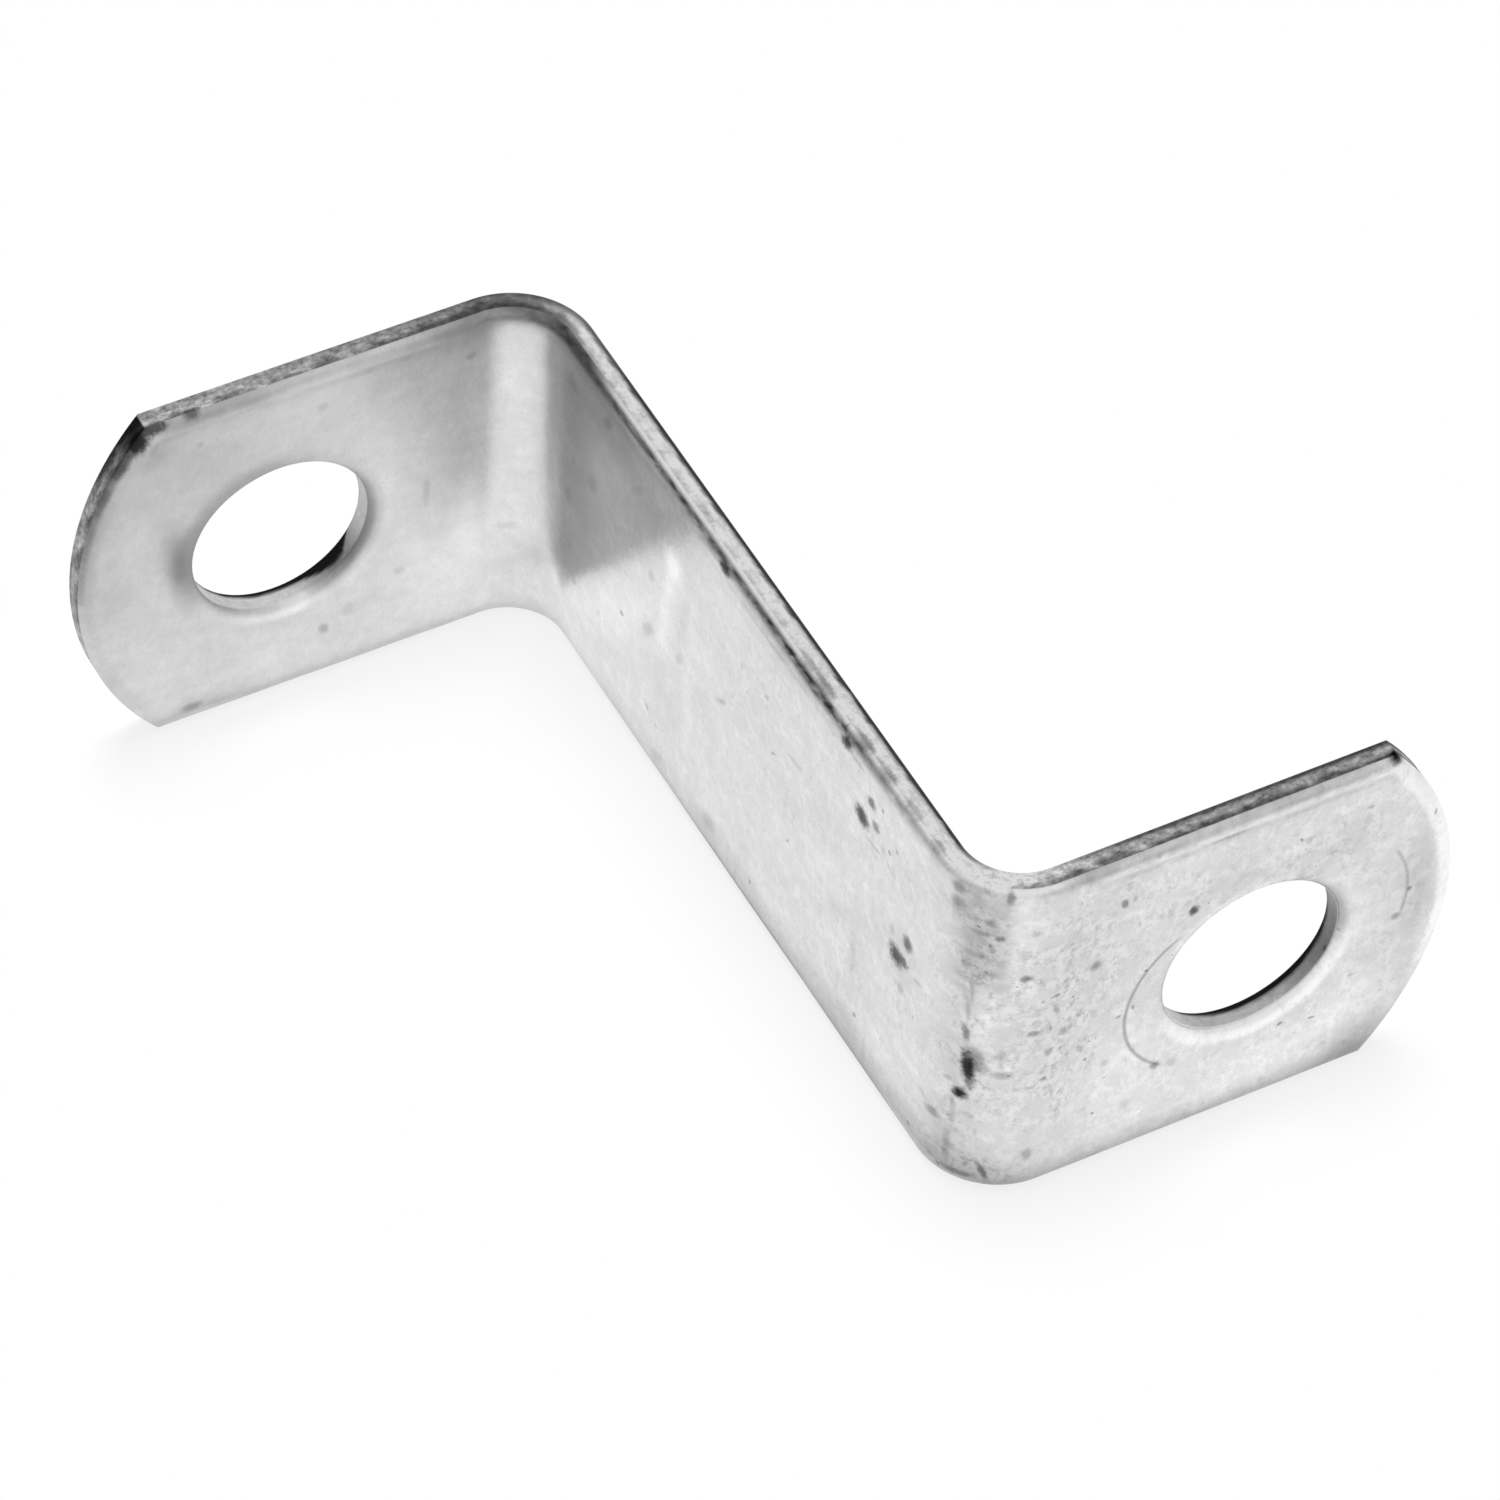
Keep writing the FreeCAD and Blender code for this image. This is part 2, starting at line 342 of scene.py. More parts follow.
STAINS_AND_PAINTED_LIGHT = tuple(StainAndSheen(*row) for row in (
    (-54.8, 21.0, 1.8, 6.0, 0, -0.20),
    (-54.6, 15.5, 1.2, 5.0, 0, -0.14),
    (-50.0, 18.0, 5.0, 9.0, 0, -0.07),
    (-49.1, 13.8, 0.9, 2.8, 6, -0.40),
    (-50.0, 23.4, 1.6, 1.0, 40, -0.25),
    (-41.5, 7.2, 0.8, 0.6, 0, 0.40),
    (-44.0, 17.6, 2.4, 0.9, 10, 0.14),
    (-36.3, 11.5, 0.8, 3.0, 0, -0.14),
    (-46.0, 11.0, 11.0, 12.0, 0, -0.06),
    (-30.5, 5.5, 3.5, 4.5, 20, 0.16),
    (-32.2, 19.5, 1.6, 4.0, 25, 0.06),
    (-30.0, 24.2, 2.5, 1.0, 0, -0.20),
    (-26.2, 13.0, 1.2, 12.0, 0, 0.05),
    (-29.3, 17.0, 0.9, 7.0, 0, 0.14),
    (-29.7, 9.0, 1.5, 3.6, 0, 0.26),
    (-23.3, 11.5, 0.7, 5.0, 0, 0.16),
    (-25.3, 5.2, 1.5, 1.4, 0, -0.16),
    (-22.6, 5.0, 0.7, 1.2, 0, 0.26),
    (-48.0, 21.5, 6.0, 5.0, 0, -0.20),
    (-27.8, 20.0, 1.6, 6.0, 0, 0.14),
    (-28.0, 12.5, 1.6, 3.5, 0, 0.07),
    (-35.8, 17.0, 1.4, 3.5, 0, 0.08),
    (-20.4, 15.5, 2.0, 4.0, -10, -0.17),
    (-17.5, 23.2, 5.0, 2.2, -10, -0.24),
    (-53.0, 5.0, 2.0, 5.0, 0, -0.08),
    (-53.2, 13.0, 2.2, 4.0, 0, -0.10),
    (-20.6, 18.5, 2.2, 6.5, 0, -0.10),
    (-20.8, 22.0, 2.2, 6.0, -15, -0.22),
    (-15.0, 17.5, 3.0, 3.5, -40, 0.14),
    (-18.0, 11.5, 1.2, 4.0, -40, 0.08),
    (-14.6, 9.8, 8.5, 2.2, 47, 0.16),
    (-22.0, 5.0, 3.0, 1.5, 20, 0.10),
    (-8.5, 19.3, 0.9, 1.1, 0, 0.42),
    (-9.0, 16.8, 0.5, 2.2, -8, 0.20),
    (-9.6, 13.2, 0.6, 2.4, -14, 0.12),
    (-7.1, 15.3, 0.55, 2.6, -10, -0.13),
    (-10.9, 12.0, 0.6, 1.8, -30, -0.10),
    (-6.3, 8.0, 0.5, 8.0, 0, 0.08),
    (-9.5, 5.5, 1.3, 2.6, -35, -0.07),
    (-3.0, 2.4, 1.2, 1.2, 0, -0.10),
    (12.0, 10.4, 1.2, 0.7, 15, -0.16),
    (14.2, 8.3, 0.5, 2.0, 0, -0.20),
    (10.3, 8.5, 0.4, 0.8, -20, -0.10),
    (6.6, 17.4, 1.4, 0.5, 8, -0.09),
    (14.2, 3.4, 1.8, 1.6, 0, -0.14),
    (25.0, 21.0, 1.1, 4.6, 0, -0.22),
    (19.6, 13.6, 1.6, 2.6, 0, -0.17),
    (24.3, 4.6, 1.3, 2.6, 0, -0.14),
    (25.0, 9.0, 1.1, 4.5, 0, -0.12),
    (25.9, 14.0, 0.5, 3.0, 0, 0.14),
    (27.4, 21.0, 0.6, 5.0, 0, 0.10),
    (29.5, 15.0, 3.0, 7.5, 0, -0.08),
    (25.2, 1.8, 2.8, 2.0, 0, -0.22),
    (33.5, 7.5, 3.0, 4.0, 0, 0.13),
    (43.0, 3.8, 7.0, 2.6, 0, 0.14),
    (48.5, 5.0, 2.0, 2.6, -40, 0.12),
    (38.0, 7.6, 1.6, 1.0, -50, 0.12),
    (46.8, 19.6, 2.5, 1.6, 0, -0.06),
    (41.0, 20.0, 4.5, 0.9, 0, -0.08),
    (52.9, 14.0, 0.9, 7.0, 0, -0.14),
    (49.9, 1.2, 2.8, 1.9, 35, -0.40),
))

WORN = tuple(StainAndSheen(*row) for row in (
    (25.4, 19.0, 1.5, 7.0, 0, 0.9),
    (25.3, 9.5, 1.7, 5.0, 0, 1.0),
    (25.3, 1.5, 2.8, 2.0, 0, 1.0),
    (29.8, 17.0, 4.0, 6.5, 0, 0.85),
    (29.3, 10.5, 3.0, 5.5, 0, 0.85),
    (35.0, 21.0, 6.0, 3.5, 0, 0.45),
    (16.0, 20.0, 4.0, 4.0, 0, 0.40),
    (19.5, 12.0, 3.5, 5.0, 0, 0.40),
    (13.0, 6.0, 3.0, 4.0, 0, 0.35),
    (46.0, 20.0, 6.0, 4.0, 0, 0.45),
    (47.0, 6.0, 8.0, 5.0, 0, 0.25),
))


def grid_cells(columns: int, rows: int, closed: bool = False) -> np.ndarray:
    """List the cells of a grid of points.

    Args:
        columns: How many points lie along its first direction.
        rows: How many lie along its second.
        closed: Whether the last column joins the first.

    Returns:
        Rows of four point numbers.
    """
    number = np.arange(columns * rows).reshape(columns, rows)
    if closed:
        number = np.vstack([number, number[:1]])
    corners = (number[:-1, :-1], number[1:, :-1], number[1:, 1:], number[:-1, 1:])
    return np.stack([corner.ravel() for corner in corners], axis=1)


@dataclass
class Patch:
    """A grid of points on the flat strip, with what the finish needs to know there.

    The arrays all have the grid's shape. Columns run along the first direction
    and rows along the second, and the two turn anticlockwise seen from outside.
    """

    along: np.ndarray
    across: np.ndarray
    up: np.ndarray
    edge: np.ndarray
    wall: np.ndarray
    skin: Skin
    out_along: np.ndarray | float = 0.0
    out_across: np.ndarray | float = 0.0
    closed: bool = False

    def half_turn(self, width: float) -> "Patch":
        """Copy the patch to the strip's other end, half a turn about its middle.

        Args:
            width: The strip's width.

        Returns:
            The same patch at the other end, facing the same way.
        """
        return replace(
            self, along=-self.along, across=width - self.across,
            out_along=-np.asarray(self.out_along), out_across=-np.asarray(self.out_across),
        )

    def flipped(self) -> "Patch":
        """Copy the patch with its rows the other way round.

        Returns:
            The same points, facing the other way.
        """
        names = ("along", "across", "up", "edge", "wall", "out_along", "out_across")
        arrays = (np.broadcast_to(getattr(self, name), self.along.shape) for name in names)
        return replace(self, **{name: array[:, ::-1] for name, array in zip(names, arrays)})

    def quads(self) -> np.ndarray:
        """List the grid's cells as rows of four point numbers."""
        return grid_cells(*self.along.shape, self.closed)

    def sheet(self) -> np.ndarray:
        """Place each point on the unrolled sheet that the finish's pattern reads.

        The front lies as it is on the flat strip, the back beside it, and a
        wall is laid out flat past the edge that it belongs to.

        Returns:
            Two columns, from 0 to 1 over the whole sheet.
        """
        depth = np.where(self.skin is Skin.WALL, self.wall * StripSizes.thickness, 0.0)
        along = self.along + depth * self.out_along
        across = self.across + depth * self.out_across
        if self.skin is Skin.BACK:
            across = across + BACK_SHIFT
        flat = np.stack([along.ravel() + SHEET_SHIFT, across.ravel() + SHEET_RISE], axis=1)
        return flat / SHEET_SPAN


def spread(start: float, stop: float, step: float) -> np.ndarray:
    """Space points evenly from start to stop, about a step apart."""
    return np.linspace(start, stop, max(2, round(abs(stop - start) / step) + 1))


def spread_to_corner(start: float, stop: float, step: float) -> np.ndarray:
    """Space points evenly, then closer and closer towards the stop, which is a corner.

    Args:
        start: First value.
        stop: Last value, at the corner.
        step: Spacing away from the corner.

    Returns:
        The values in order.
    """
    sign = math.copysign(1.0, stop - start)
    close = stop - sign * step * np.array(CORNER_STEPS)
    return np.concatenate([spread(start, close[0], step)[:-1], close])


@dataclass
class Blank:
    """The strip as it is cut and punched, before it is bent: its grid of patches.

    Every cut edge has a band of rows beside it on both skins. Within the band
    the front falls away towards the cut: first along a long shallow shoulder,
    the square of what is left of the band, and then round a quarter of an oval.
    Rows lie at the listed turns round each edge and at the listed distances.
    """

    sizes: StripSizes = field(default_factory=StripSizes)
    step: float = 0.295
    bend_step: float = 0.9
    lean_length: float = 9.0
    field_rows: int = 22
    front_turns: tuple[float, ...] = (0, 11, 22, 33, 44, 56, 68, 80, 90)
    front_rest: tuple[float, ...] = (1.15, 1.45)
    back_turns: tuple[float, ...] = (0, 45, 90)
    back_rest: tuple[float, ...] = (0.35, 0.9)
    wall_shares: tuple[float, ...] = (0.0, 0.07, 0.16, 0.3, 0.46, 0.62, 0.77, 0.88, 0.95, 1.0)

    def rows(
        self, turns: tuple[float, ...], rest: tuple[float, ...], wide: float, deep: float
    ) -> tuple[np.ndarray, np.ndarray]:
        """Lay rows round a quarter of an oval at the cut, and on over the flat metal.

        Args:
            turns: The rows' turns round the oval, in degrees.
            rest: The distances of the rows between the oval and the band's inside.
            wide: The oval's half length away from the cut.
            deep: Its half length down from the skin.

        Returns:
            The distance from the cut, and the depth below the skin, of each row.
        """
        angle = np.radians(turns)
        flat = np.array([*rest, self.sizes.band])
        distance = np.concatenate([wide * (1 - np.cos(angle)), flat])
        return distance, np.concatenate([deep * (1 - np.sin(angle)), np.zeros(len(flat))])

    def front_rows(self) -> tuple[np.ndarray, np.ndarray]:
        """Give the front band's rows, from the cut inwards.

        Returns:
            The distance from the cut, and the drop below the front, of each row.
        """
        size = self.sizes
        distance, drop = self.rows(self.front_turns, self.front_rest, size.roll_width, size.roll_drop)
        return distance, drop + size.shoulder_drop * (1 - distance / size.band) ** 2

    def back_rows(self) -> tuple[np.ndarray, np.ndarray]:
        """Give the back band's rows: a crisp edge barely rounded, then flat."""
        crisp = self.sizes.crisp_edge
        return self.rows(self.back_turns, self.back_rest, crisp, crisp)

    def straight_rim(self) -> tuple[np.ndarray, np.ndarray]:
        """Run along the lower edge between the two flanges.

        Returns:
            The rim's points and the points a band's width inside it, as two columns each.
        """
        along = self.web_columns()
        rim = np.stack([along, np.zeros_like(along)], axis=1)
        return rim, rim + [0.0, self.sizes.band]

    def web_columns(self) -> np.ndarray:
        """Space the columns of the web and of both bends.

        Returns:
            Their places along the strip.
        """
        size = self.sizes
        bend = spread(size.half_web, size.bend_end, self.step * self.bend_step)
        web = spread(-size.half_web, size.half_web, self.step)
        return np.concatenate([-bend[::-1][:-1], web[:-1], bend])

    def web_rows(self) -> np.ndarray:
        """Space the rows across the strip between the two bands."""
        size = self.sizes
        return spread(size.band, size.width - size.band, self.step)

    def end_rim(self) -> tuple[np.ndarray, np.ndarray]:
        """Run round one flange: out along the lower edge, up the curved end and back.

        The rows inside the rim lean away from each corner, in step with the
        distance from it, so that they meet on the line that halves the corner.

        Returns:
            The rim's points and the points a band's width inside it, as two columns each.
        """
        size = self.sizes
        half = size.width / 2
        inner_radius = size.end_radius - size.band
        centre = size.tip - size.end_radius
        reach = math.asin(half / size.end_radius)
        inner_reach = math.asin((half - size.band) / inner_radius)
        corner = centre + size.end_radius * math.cos(reach)
        inner_corner = centre + inner_radius * math.cos(inner_reach)

        lower = spread_to_corner(size.bend_end, corner, self.step)
        lean = np.clip((lower - (corner - self.lean_length)) / self.lean_length, 0.0, 1.0)
        inner_lower = lower - (corner - inner_corner) * lean
        turn = spread_to_corner(0.0, -reach, self.step / size.end_radius)[::-1]
        turn = np.concatenate([turn, -turn[::-1][1:]])
        inner_turn = turn * inner_reach / reach

        def loop(lower: np.ndarray, inset: float, turn: np.ndarray) -> np.ndarray:
            """Join the lower edge, the curved end and the upper edge.

            Args:
                lower: Places along the lower edge, outwards.
                inset: How far the loop lies inside the cut.
                turn: Angles about the curved end's centre, upwards.

            Returns:
                The loop's points, two columns.
            """
            radius = size.end_radius - inset
            out = np.stack([lower, np.full_like(lower, inset)], axis=1)
            ring = np.stack([centre + radius * np.cos(turn), half + radius * np.sin(turn)], axis=1)
            back = np.stack([lower, np.full_like(lower, size.width - inset)], axis=1)[::-1]
            return np.vstack([out[:-1], ring, back[1:]])

        return loop(lower, 0.0, turn), loop(inner_lower, size.band, inner_turn)

    def hole_rim(self) -> tuple[np.ndarray, np.ndarray, np.ndarray]:
        """Run round the hole and round what lies outside it.

        Each point of the hole's rim lies on a straight ray from its centre to a
        point of the outer loop, which is the inside of the flange's band and the
        line where the flange meets its bend.

        Returns:
            The hole's rim, the points a band's width outside it and the outer loop.
        """
        size = self.sizes
        _, inner = self.end_rim()
        rows = self.web_rows()[::-1][1:-1]
        seam = np.stack([np.full_like(rows, size.bend_end), rows], axis=1)
        loop = np.vstack([inner, seam])
        centre = np.array([size.hole, size.width / 2])
        ray = loop - centre
        ray /= np.linalg.norm(ray, axis=1)[:, None]
        return centre + ray * size.hole_radius, centre + ray * (size.hole_radius + size.band), loop

    def band(self, rim: np.ndarray, inner: np.ndarray, closed: bool) -> list[Patch]:
        """Make the front band, wall and back band along one stretch of rim.

        A point on a row is the rim's point plus its row's share of the way to
        the inner point.

        Args:
            rim: Points on the cut, anticlockwise about the metal.
            inner: Points a band's width into the metal.
            closed: Whether the last column joins the first.

        Returns:
            The three patches.
        """
        size = self.sizes
        inward = (inner - rim) / size.band
        follow = np.gradient(rim, axis=0)
        if closed:
            follow = np.roll(rim, -1, axis=0) - np.roll(rim, 1, axis=0)
        outward = np.stack([follow[:, 1], -follow[:, 0]], axis=1)
        outward /= np.linalg.norm(outward, axis=1)[:, None]

        def patch(distance: np.ndarray, up: np.ndarray, wall: np.ndarray, skin: Skin) -> Patch:
            """Lay rows out along the rim.

            Args:
                distance: How far each row is from the cut.
                up: How high it is.
                wall: How far down the wall it is.
                skin: The kind of surface.

            Returns:
                The patch.
            """
            place = rim[:, None, :] + inward[:, None, :] * distance[None, :, None]
            full = np.ones((len(rim), 1))
            return Patch(
                place[..., 0], place[..., 1], full * up, full * distance, full * wall, skin,
                outward[:, :1] * np.ones(len(distance)), outward[:, 1:] * np.ones(len(distance)),
                closed,
            )

        distance, drop = self.front_rows()
        front = patch(distance, size.half_thickness - drop, 0 * distance, Skin.FRONT)
        back_distance, rise = self.back_rows()
        back = patch(back_distance, rise - size.half_thickness, 0 * rise + 1.0, Skin.BACK)
        share = np.array(self.wall_shares)
        top, bottom = size.half_thickness - drop[0], rise[0] - size.half_thickness
        wall = patch(0 * share, top + (bottom - top) * share, share, Skin.WALL)
        return [front, wall.flipped(), back.flipped()]

    def field_between(self, first: np.ndarray, last: np.ndarray, rows: int, closed: bool) -> list[Patch]:
        """Fill the flat metal between two lines on both skins, on straight rays.

        Args:
            first: Points of the first line.
            last: Points of the second line, as many.
            rows: How many cells lie between them.
            closed: Whether the last column joins the first.

        Returns:
            The front patch and the back patch.
        """
        share = np.linspace(0.0, 1.0, rows + 1)
        place = first[:, None, :] + (last - first)[:, None, :] * share[None, :, None]
        flat = np.ones(place.shape[:2])
        up, edge = flat * self.sizes.half_thickness, flat * self.sizes.band
        front = Patch(place[..., 0], place[..., 1], up, edge, 0 * flat, Skin.FRONT, closed=closed)
        return [front, replace(front, up=-up, wall=flat, skin=Skin.BACK).flipped()]

    def patches(self) -> list[Patch]:
        """Make every patch of the blank: one end and one edge, and both again half a turn round.

        Returns:
            The patches, whose rims meet point on point.
        """
        size = self.sizes
        rim, inner = self.end_rim()
        hole, hole_band, loop = self.hole_rim()
        end = self.band(rim, inner, closed=False)
        end += self.band(hole[::-1], hole_band[::-1], closed=True)
        end += self.field_between(loop, hole_band, self.field_rows, closed=True)
        both = end + [patch.half_turn(size.width) for patch in end]

        rim, inner = self.straight_rim()
        edge = self.band(rim, inner, closed=False)
        both += edge + [patch.half_turn(size.width) for patch in edge]
        top = inner + [0.0, size.width - 2 * size.band]
        return both + self.field_between(inner, top, len(self.web_rows()) - 1, closed=False)


@dataclass
class Bender:
    """Carries points of the flat strip round its two bends into the frame."""

    sizes: StripSizes = field(default_factory=StripSizes)

    def place(self, along: np.ndarray, across: np.ndarray, up: np.ndarray) -> np.ndarray:
        """Bend the strip.

        On the web a point goes to (minus its height, minus its length). In a
        bend its angle is the length into the bend over the middle radius, and
        its distance from the bend's centre is that radius less its height at
        the left bend, where the front is the inside, or plus it at the right.
        A flange carries on straight from its bend.

        Args:
            along: Distance from the middle of the web, negative to the left.
            across: Distance up from the lower edge.
            up: Height above the middle of the metal, towards the front.

        Returns:
            The points in millimetres, three columns.
        """
        size = self.sizes
        side = np.sign(along)
        reach = np.abs(along)
        centre = size.mid_radius
        angle = np.clip((reach - size.half_web) / size.mid_radius, 0.0, math.pi / 2)
        straight = np.maximum(reach - size.bend_end, 0.0)
        radius = size.mid_radius + side * up
        across_web = side * (centre - radius * np.cos(angle) + straight)
        along_web = -side * (size.half_web + radius * np.sin(angle))
        on_web = reach <= size.half_web
        return np.stack([
            np.where(on_web, -up, across_web),
            np.where(on_web, -along, along_web),
            across,
        ], axis=1)


@dataclass(frozen=True)
class Ripples:
    """A random field made of cosines, each with its own direction, length and start."""

    seed: int
    short: float
    long: float
    count: int = 20
    drawn_out: float = 1.0

    def at(self, along: np.ndarray, across: np.ndarray) -> np.ndarray:
        """Add the cosines up, so that the sum is 0 on average and spreads by 1.

        Args:
            along: Distance along the strip, in millimetres.
            across: Distance across it.

        Returns:
            The field at each point, longer along the strip where drawn out.
        """
        draw = np.random.default_rng(self.seed)
        turn = draw.uniform(0, math.pi, self.count)
        pitch = 2 * math.pi / draw.uniform(self.short, self.long, self.count)
        start = draw.uniform(0, 2 * math.pi, self.count)
        phase = np.multiply.outer(along / self.drawn_out, pitch * np.cos(turn))
        phase += np.multiply.outer(across, pitch * np.sin(turn))
        return np.cos(phase + start).sum(axis=-1) * math.sqrt(2 / self.count)


def smooth(value: np.ndarray, low: float, high: float) -> np.ndarray:
    """Pass smoothly from 0 to 1 as a value goes from low to high."""
    share = np.clip((value - low) / (high - low), 0.0, 1.0)
    return share * share * (3 - 2 * share)


@dataclass
class HandlingWear:
    """Small true changes of shape: ripples in the sheet, dents and a torn cut."""

    ripple: float = 0.006
    ripple_middle: float = 1.5
    tear: float = 0.03
    torn_middle: float = 0.5
    torn_spread: float = 0.4
    torn_slant: tuple[float, float] = (3.1, 2.3)
    sheet: Ripples = Ripples(7, 5.0, 14.0)
    torn: Ripples = Ripples(11, 0.9, 3.0)
    dents: tuple[Dent, ...] = (
        Dent(25.15, 10.6, 0.75, 2.0, 0, 0.10),
        Dent(24.75, 8.1, 0.55, 0.8, 0, 0.07),
        Dent(14.2, 20.5, 0.80, 0.7, 0, 0.05),
        Dent(19.1, 13.4, 0.95, 0.8, 0, 0.06),
        Dent(20.0, 15.6, 0.60, 0.7, 0, 0.04),
        Dent(26.2, 1.5, 0.50, 1.2, 0, 0.05),
        Dent(37.8, 19.1, 0.50, 0.5, 0, 0.03),
    )

    def sink(self, along: np.ndarray, across: np.ndarray) -> np.ndarray:
        """Work out how far the front lies below true, from ripples and dents.

        A dent is its depth times its share.

        Args:
            along: Distance along the strip.
            across: Distance across it.

        Returns:
            The depth at each point, in millimetres.
        """
        middle = self.ripple_middle
        depth = self.ripple * np.clip(middle + self.sheet.at(along, across), 0.0, 2 * middle)
        for dent in self.dents:
            depth = depth + dent.deep * dent.share(along, across)
        return depth

    def rough(self, along: np.ndarray, across: np.ndarray, up: np.ndarray) -> np.ndarray:
        """Say how far a wall's points are torn in, from 0 to 1, unevenly down the wall.

        Args:
            along: Distance along the strip.
            across: Distance across it.
            up: Height above the middle of the metal.

        Returns:
            The share of the greatest tear.
        """
        slant_along, slant_across = self.torn_slant
        torn = self.torn.at(along + slant_along * up, across + slant_across * up)
        return np.clip(self.torn_middle + self.torn_spread * torn, 0.0, 1.0)


@dataclass(frozen=True)
class Curve:
    """A value that runs straight between listed places and stays level past both ends."""

    places: tuple[float, ...]
    values: tuple[float, ...]

    def at(self, where: np.ndarray) -> np.ndarray:
        """Read the value at each place."""
        return np.interp(where, self.places, self.values)


@dataclass(frozen=True)
class Ramp:
    """A smooth passage from 0 at one place to 1 at another, in either direction."""

    zero: float
    one: float

    def at(self, where: np.ndarray) -> np.ndarray:
        """Read the share at each place."""
        return smooth(where, self.zero, self.one)


class HoleTone(Enum):
    """What the curves of a hole give, against the direction from its middle in degrees. The roll's shade
    and the black down the wall are painted shade, the glow is a painted highlight, and the wall's change
    in tone round the hole is painted light and shade.
    """

    ROLL_SHADE = "how dark the rolled edge is"
    # The black that starts here is painted shade down the wall.
    BLACK = "where down the wall the torn black starts, past 1 for none"
    WALL = "the tone of the wall above the black"
    GLOW = "how much brighter the rolled edge is"
    GLOOM = "how much darker the face round the hole is"


LEFT_HOLE = {
    HoleTone.ROLL_SHADE: Curve(
        (-80, -60, -40, -10, 20, 50),
        (0.0, 0.35, 0.60, 0.50, 0.36, 0.0),
    ),
    HoleTone.BLACK: Curve(
        (-175, -150, -110, -85, -72, -60, -50, -42, -35, -27),
        (1.2, 0.92, 0.76, 0.72, 0.66, 0.34, 0.26, 0.34, 0.80, 1.2),
    ),
    HoleTone.WALL: Curve(
        (-170, -140, -115, -80, -50, -20, 10, 40),
        (0.64, 0.68, 0.82, 0.82, 0.28, 0.56, 0.56, 0.44),
    ),
    HoleTone.GLOW: Curve(
        (-165, -150, -130, -115, -100, -80, -62, -50),
        (0.0, 0.06, 0.16, 0.30, 0.36, 0.44, 0.05, 0.0),
    ),
    HoleTone.GLOOM: Curve(
        (-180, -162, -148, 60, 80, 100, 140, 160, 180),
        (0.32, 0.16, 0.0, 0.0, 0.12, 0.24, 0.28, 0.34, 0.32),
    ),
}

RIGHT_HOLE = {
    HoleTone.ROLL_SHADE: Curve(
        (-45, -22, 0, 20, 40, 60),
        (0.0, 0.12, 0.34, 0.34, 0.22, 0.0),
    ),
    HoleTone.BLACK: Curve(
        (-160, -130, -105, -90, -50, -30, -15, 0, 14),
        (1.2, 0.92, 0.76, 0.66, 0.66, 0.74, 0.82, 0.92, 1.2),
    ),
    HoleTone.WALL: Curve(
        (-170, -130, -90, -60, -40, -20, 0, 40, 80),
        (0.60, 0.56, 0.60, 0.56, 0.44, 0.26, 0.22, 0.34, 0.60),
    ),
    HoleTone.GLOW: Curve(
        (-165, -145, -105, -60, -20, 0, 62, 85, 140, 160),
        (0.0, 0.26, 0.34, 0.46, 0.26, 0.0, 0.0, 0.22, 0.22, 0.0),
    ),
    HoleTone.GLOOM: Curve((0,), (0.0,)),
}


@dataclass(frozen=True)
class Spots:
    """Points of the strip as the paint sees them, with one value of each array to a point.

    Edge is the distance to the nearest cut, and chips a ragged noise about 0.
    """

    sizes: StripSizes
    along: np.ndarray
    across: np.ndarray
    edge: np.ndarray
    chips: np.ndarray
    ring_margin: float = 0.2
    right_passage: float = 1.0
    left_passage: float = 0.6

    @property
    def on_ring(self) -> np.ndarray:
        """Whether a point lies in the band round a hole."""
        return self.sizes.off_hole(self.along, self.across) < self.sizes.band + self.ring_margin

    @property
    def upper(self) -> np.ndarray:
        """Whether a point belongs to the upper edge."""
        return (self.across > self.sizes.width / 2) & ~self.on_ring

    @property
    def lower(self) -> np.ndarray:
        """Whether a point belongs to the lower edge."""
        return (self.across <= self.sizes.width / 2) & ~self.on_ring

    def into_end(self, reach: np.ndarray, passage: float) -> np.ndarray:
        """Say how far points are into a curved end: 0 to 1 over a passage about its corners."""
        return smooth(reach, self.sizes.corner - passage, self.sizes.corner + passage)

    @property
    def right_end(self) -> np.ndarray:
        """How far a point is into the right flange's curved end, from 0 to 1."""
        return self.into_end(self.along, self.right_passage)

    @property
    def left_end(self) -> np.ndarray:
        """How far a point is into the left flange's curved end, from 0 to 1."""
        return self.into_end(-self.along, self.left_passage)

    def hole(self, tone: HoleTone) -> np.ndarray:
        """Read one of the curves of the nearer hole."""
        turn = self.sizes.hole_turn(self.along, self.across)
        return np.where(self.along > 0, RIGHT_HOLE[tone].at(turn), LEFT_HOLE[tone].at(turn))


@dataclass(frozen=True)
class EdgeShade:
    """Painted shade along the upper rolled edge: how dark it is and how far in it reaches, along the
    strip.

    Up to a full share of its reach it is darkest. Ragged and patchy say how
    much the chips shift its border and its darkness.
    """

    dark: Curve
    reach: Curve
    full: float
    ragged: float
    patchy: float

    def over(self, spots: Spots, uneven: np.ndarray) -> np.ndarray:
        """Work out how dark the painted shade is.

        Args:
            spots: The points.
            uneven: How much the chips matter at each of them.

        Returns:
            The share of light it takes.
        """
        shift = uneven * spots.chips
        reach = self.reach.at(spots.along)
        border = smooth(spots.edge + self.ragged * shift, reach, self.full * reach)
        return self.dark.at(spots.along) * (1 + self.patchy * shift) * border


@dataclass(frozen=True)
class LowEdgeShading:
    """A patch of painted shade by the lower edge, or below 0 of painted light: its span along it and
    ramps across.
    """

    dark: float
    span: tuple[float, float, float, float]
    ramps: tuple[Ramp, ...]

    def over(self, spots: Spots) -> np.ndarray:
        """Work out the share of light it takes."""
        shade = self.dark * np.interp(spots.along, self.span, (0.0, 1.0, 1.0, 0.0))
        return shade * np.prod([ramp.at(spots.across) for ramp in self.ramps], axis=0)


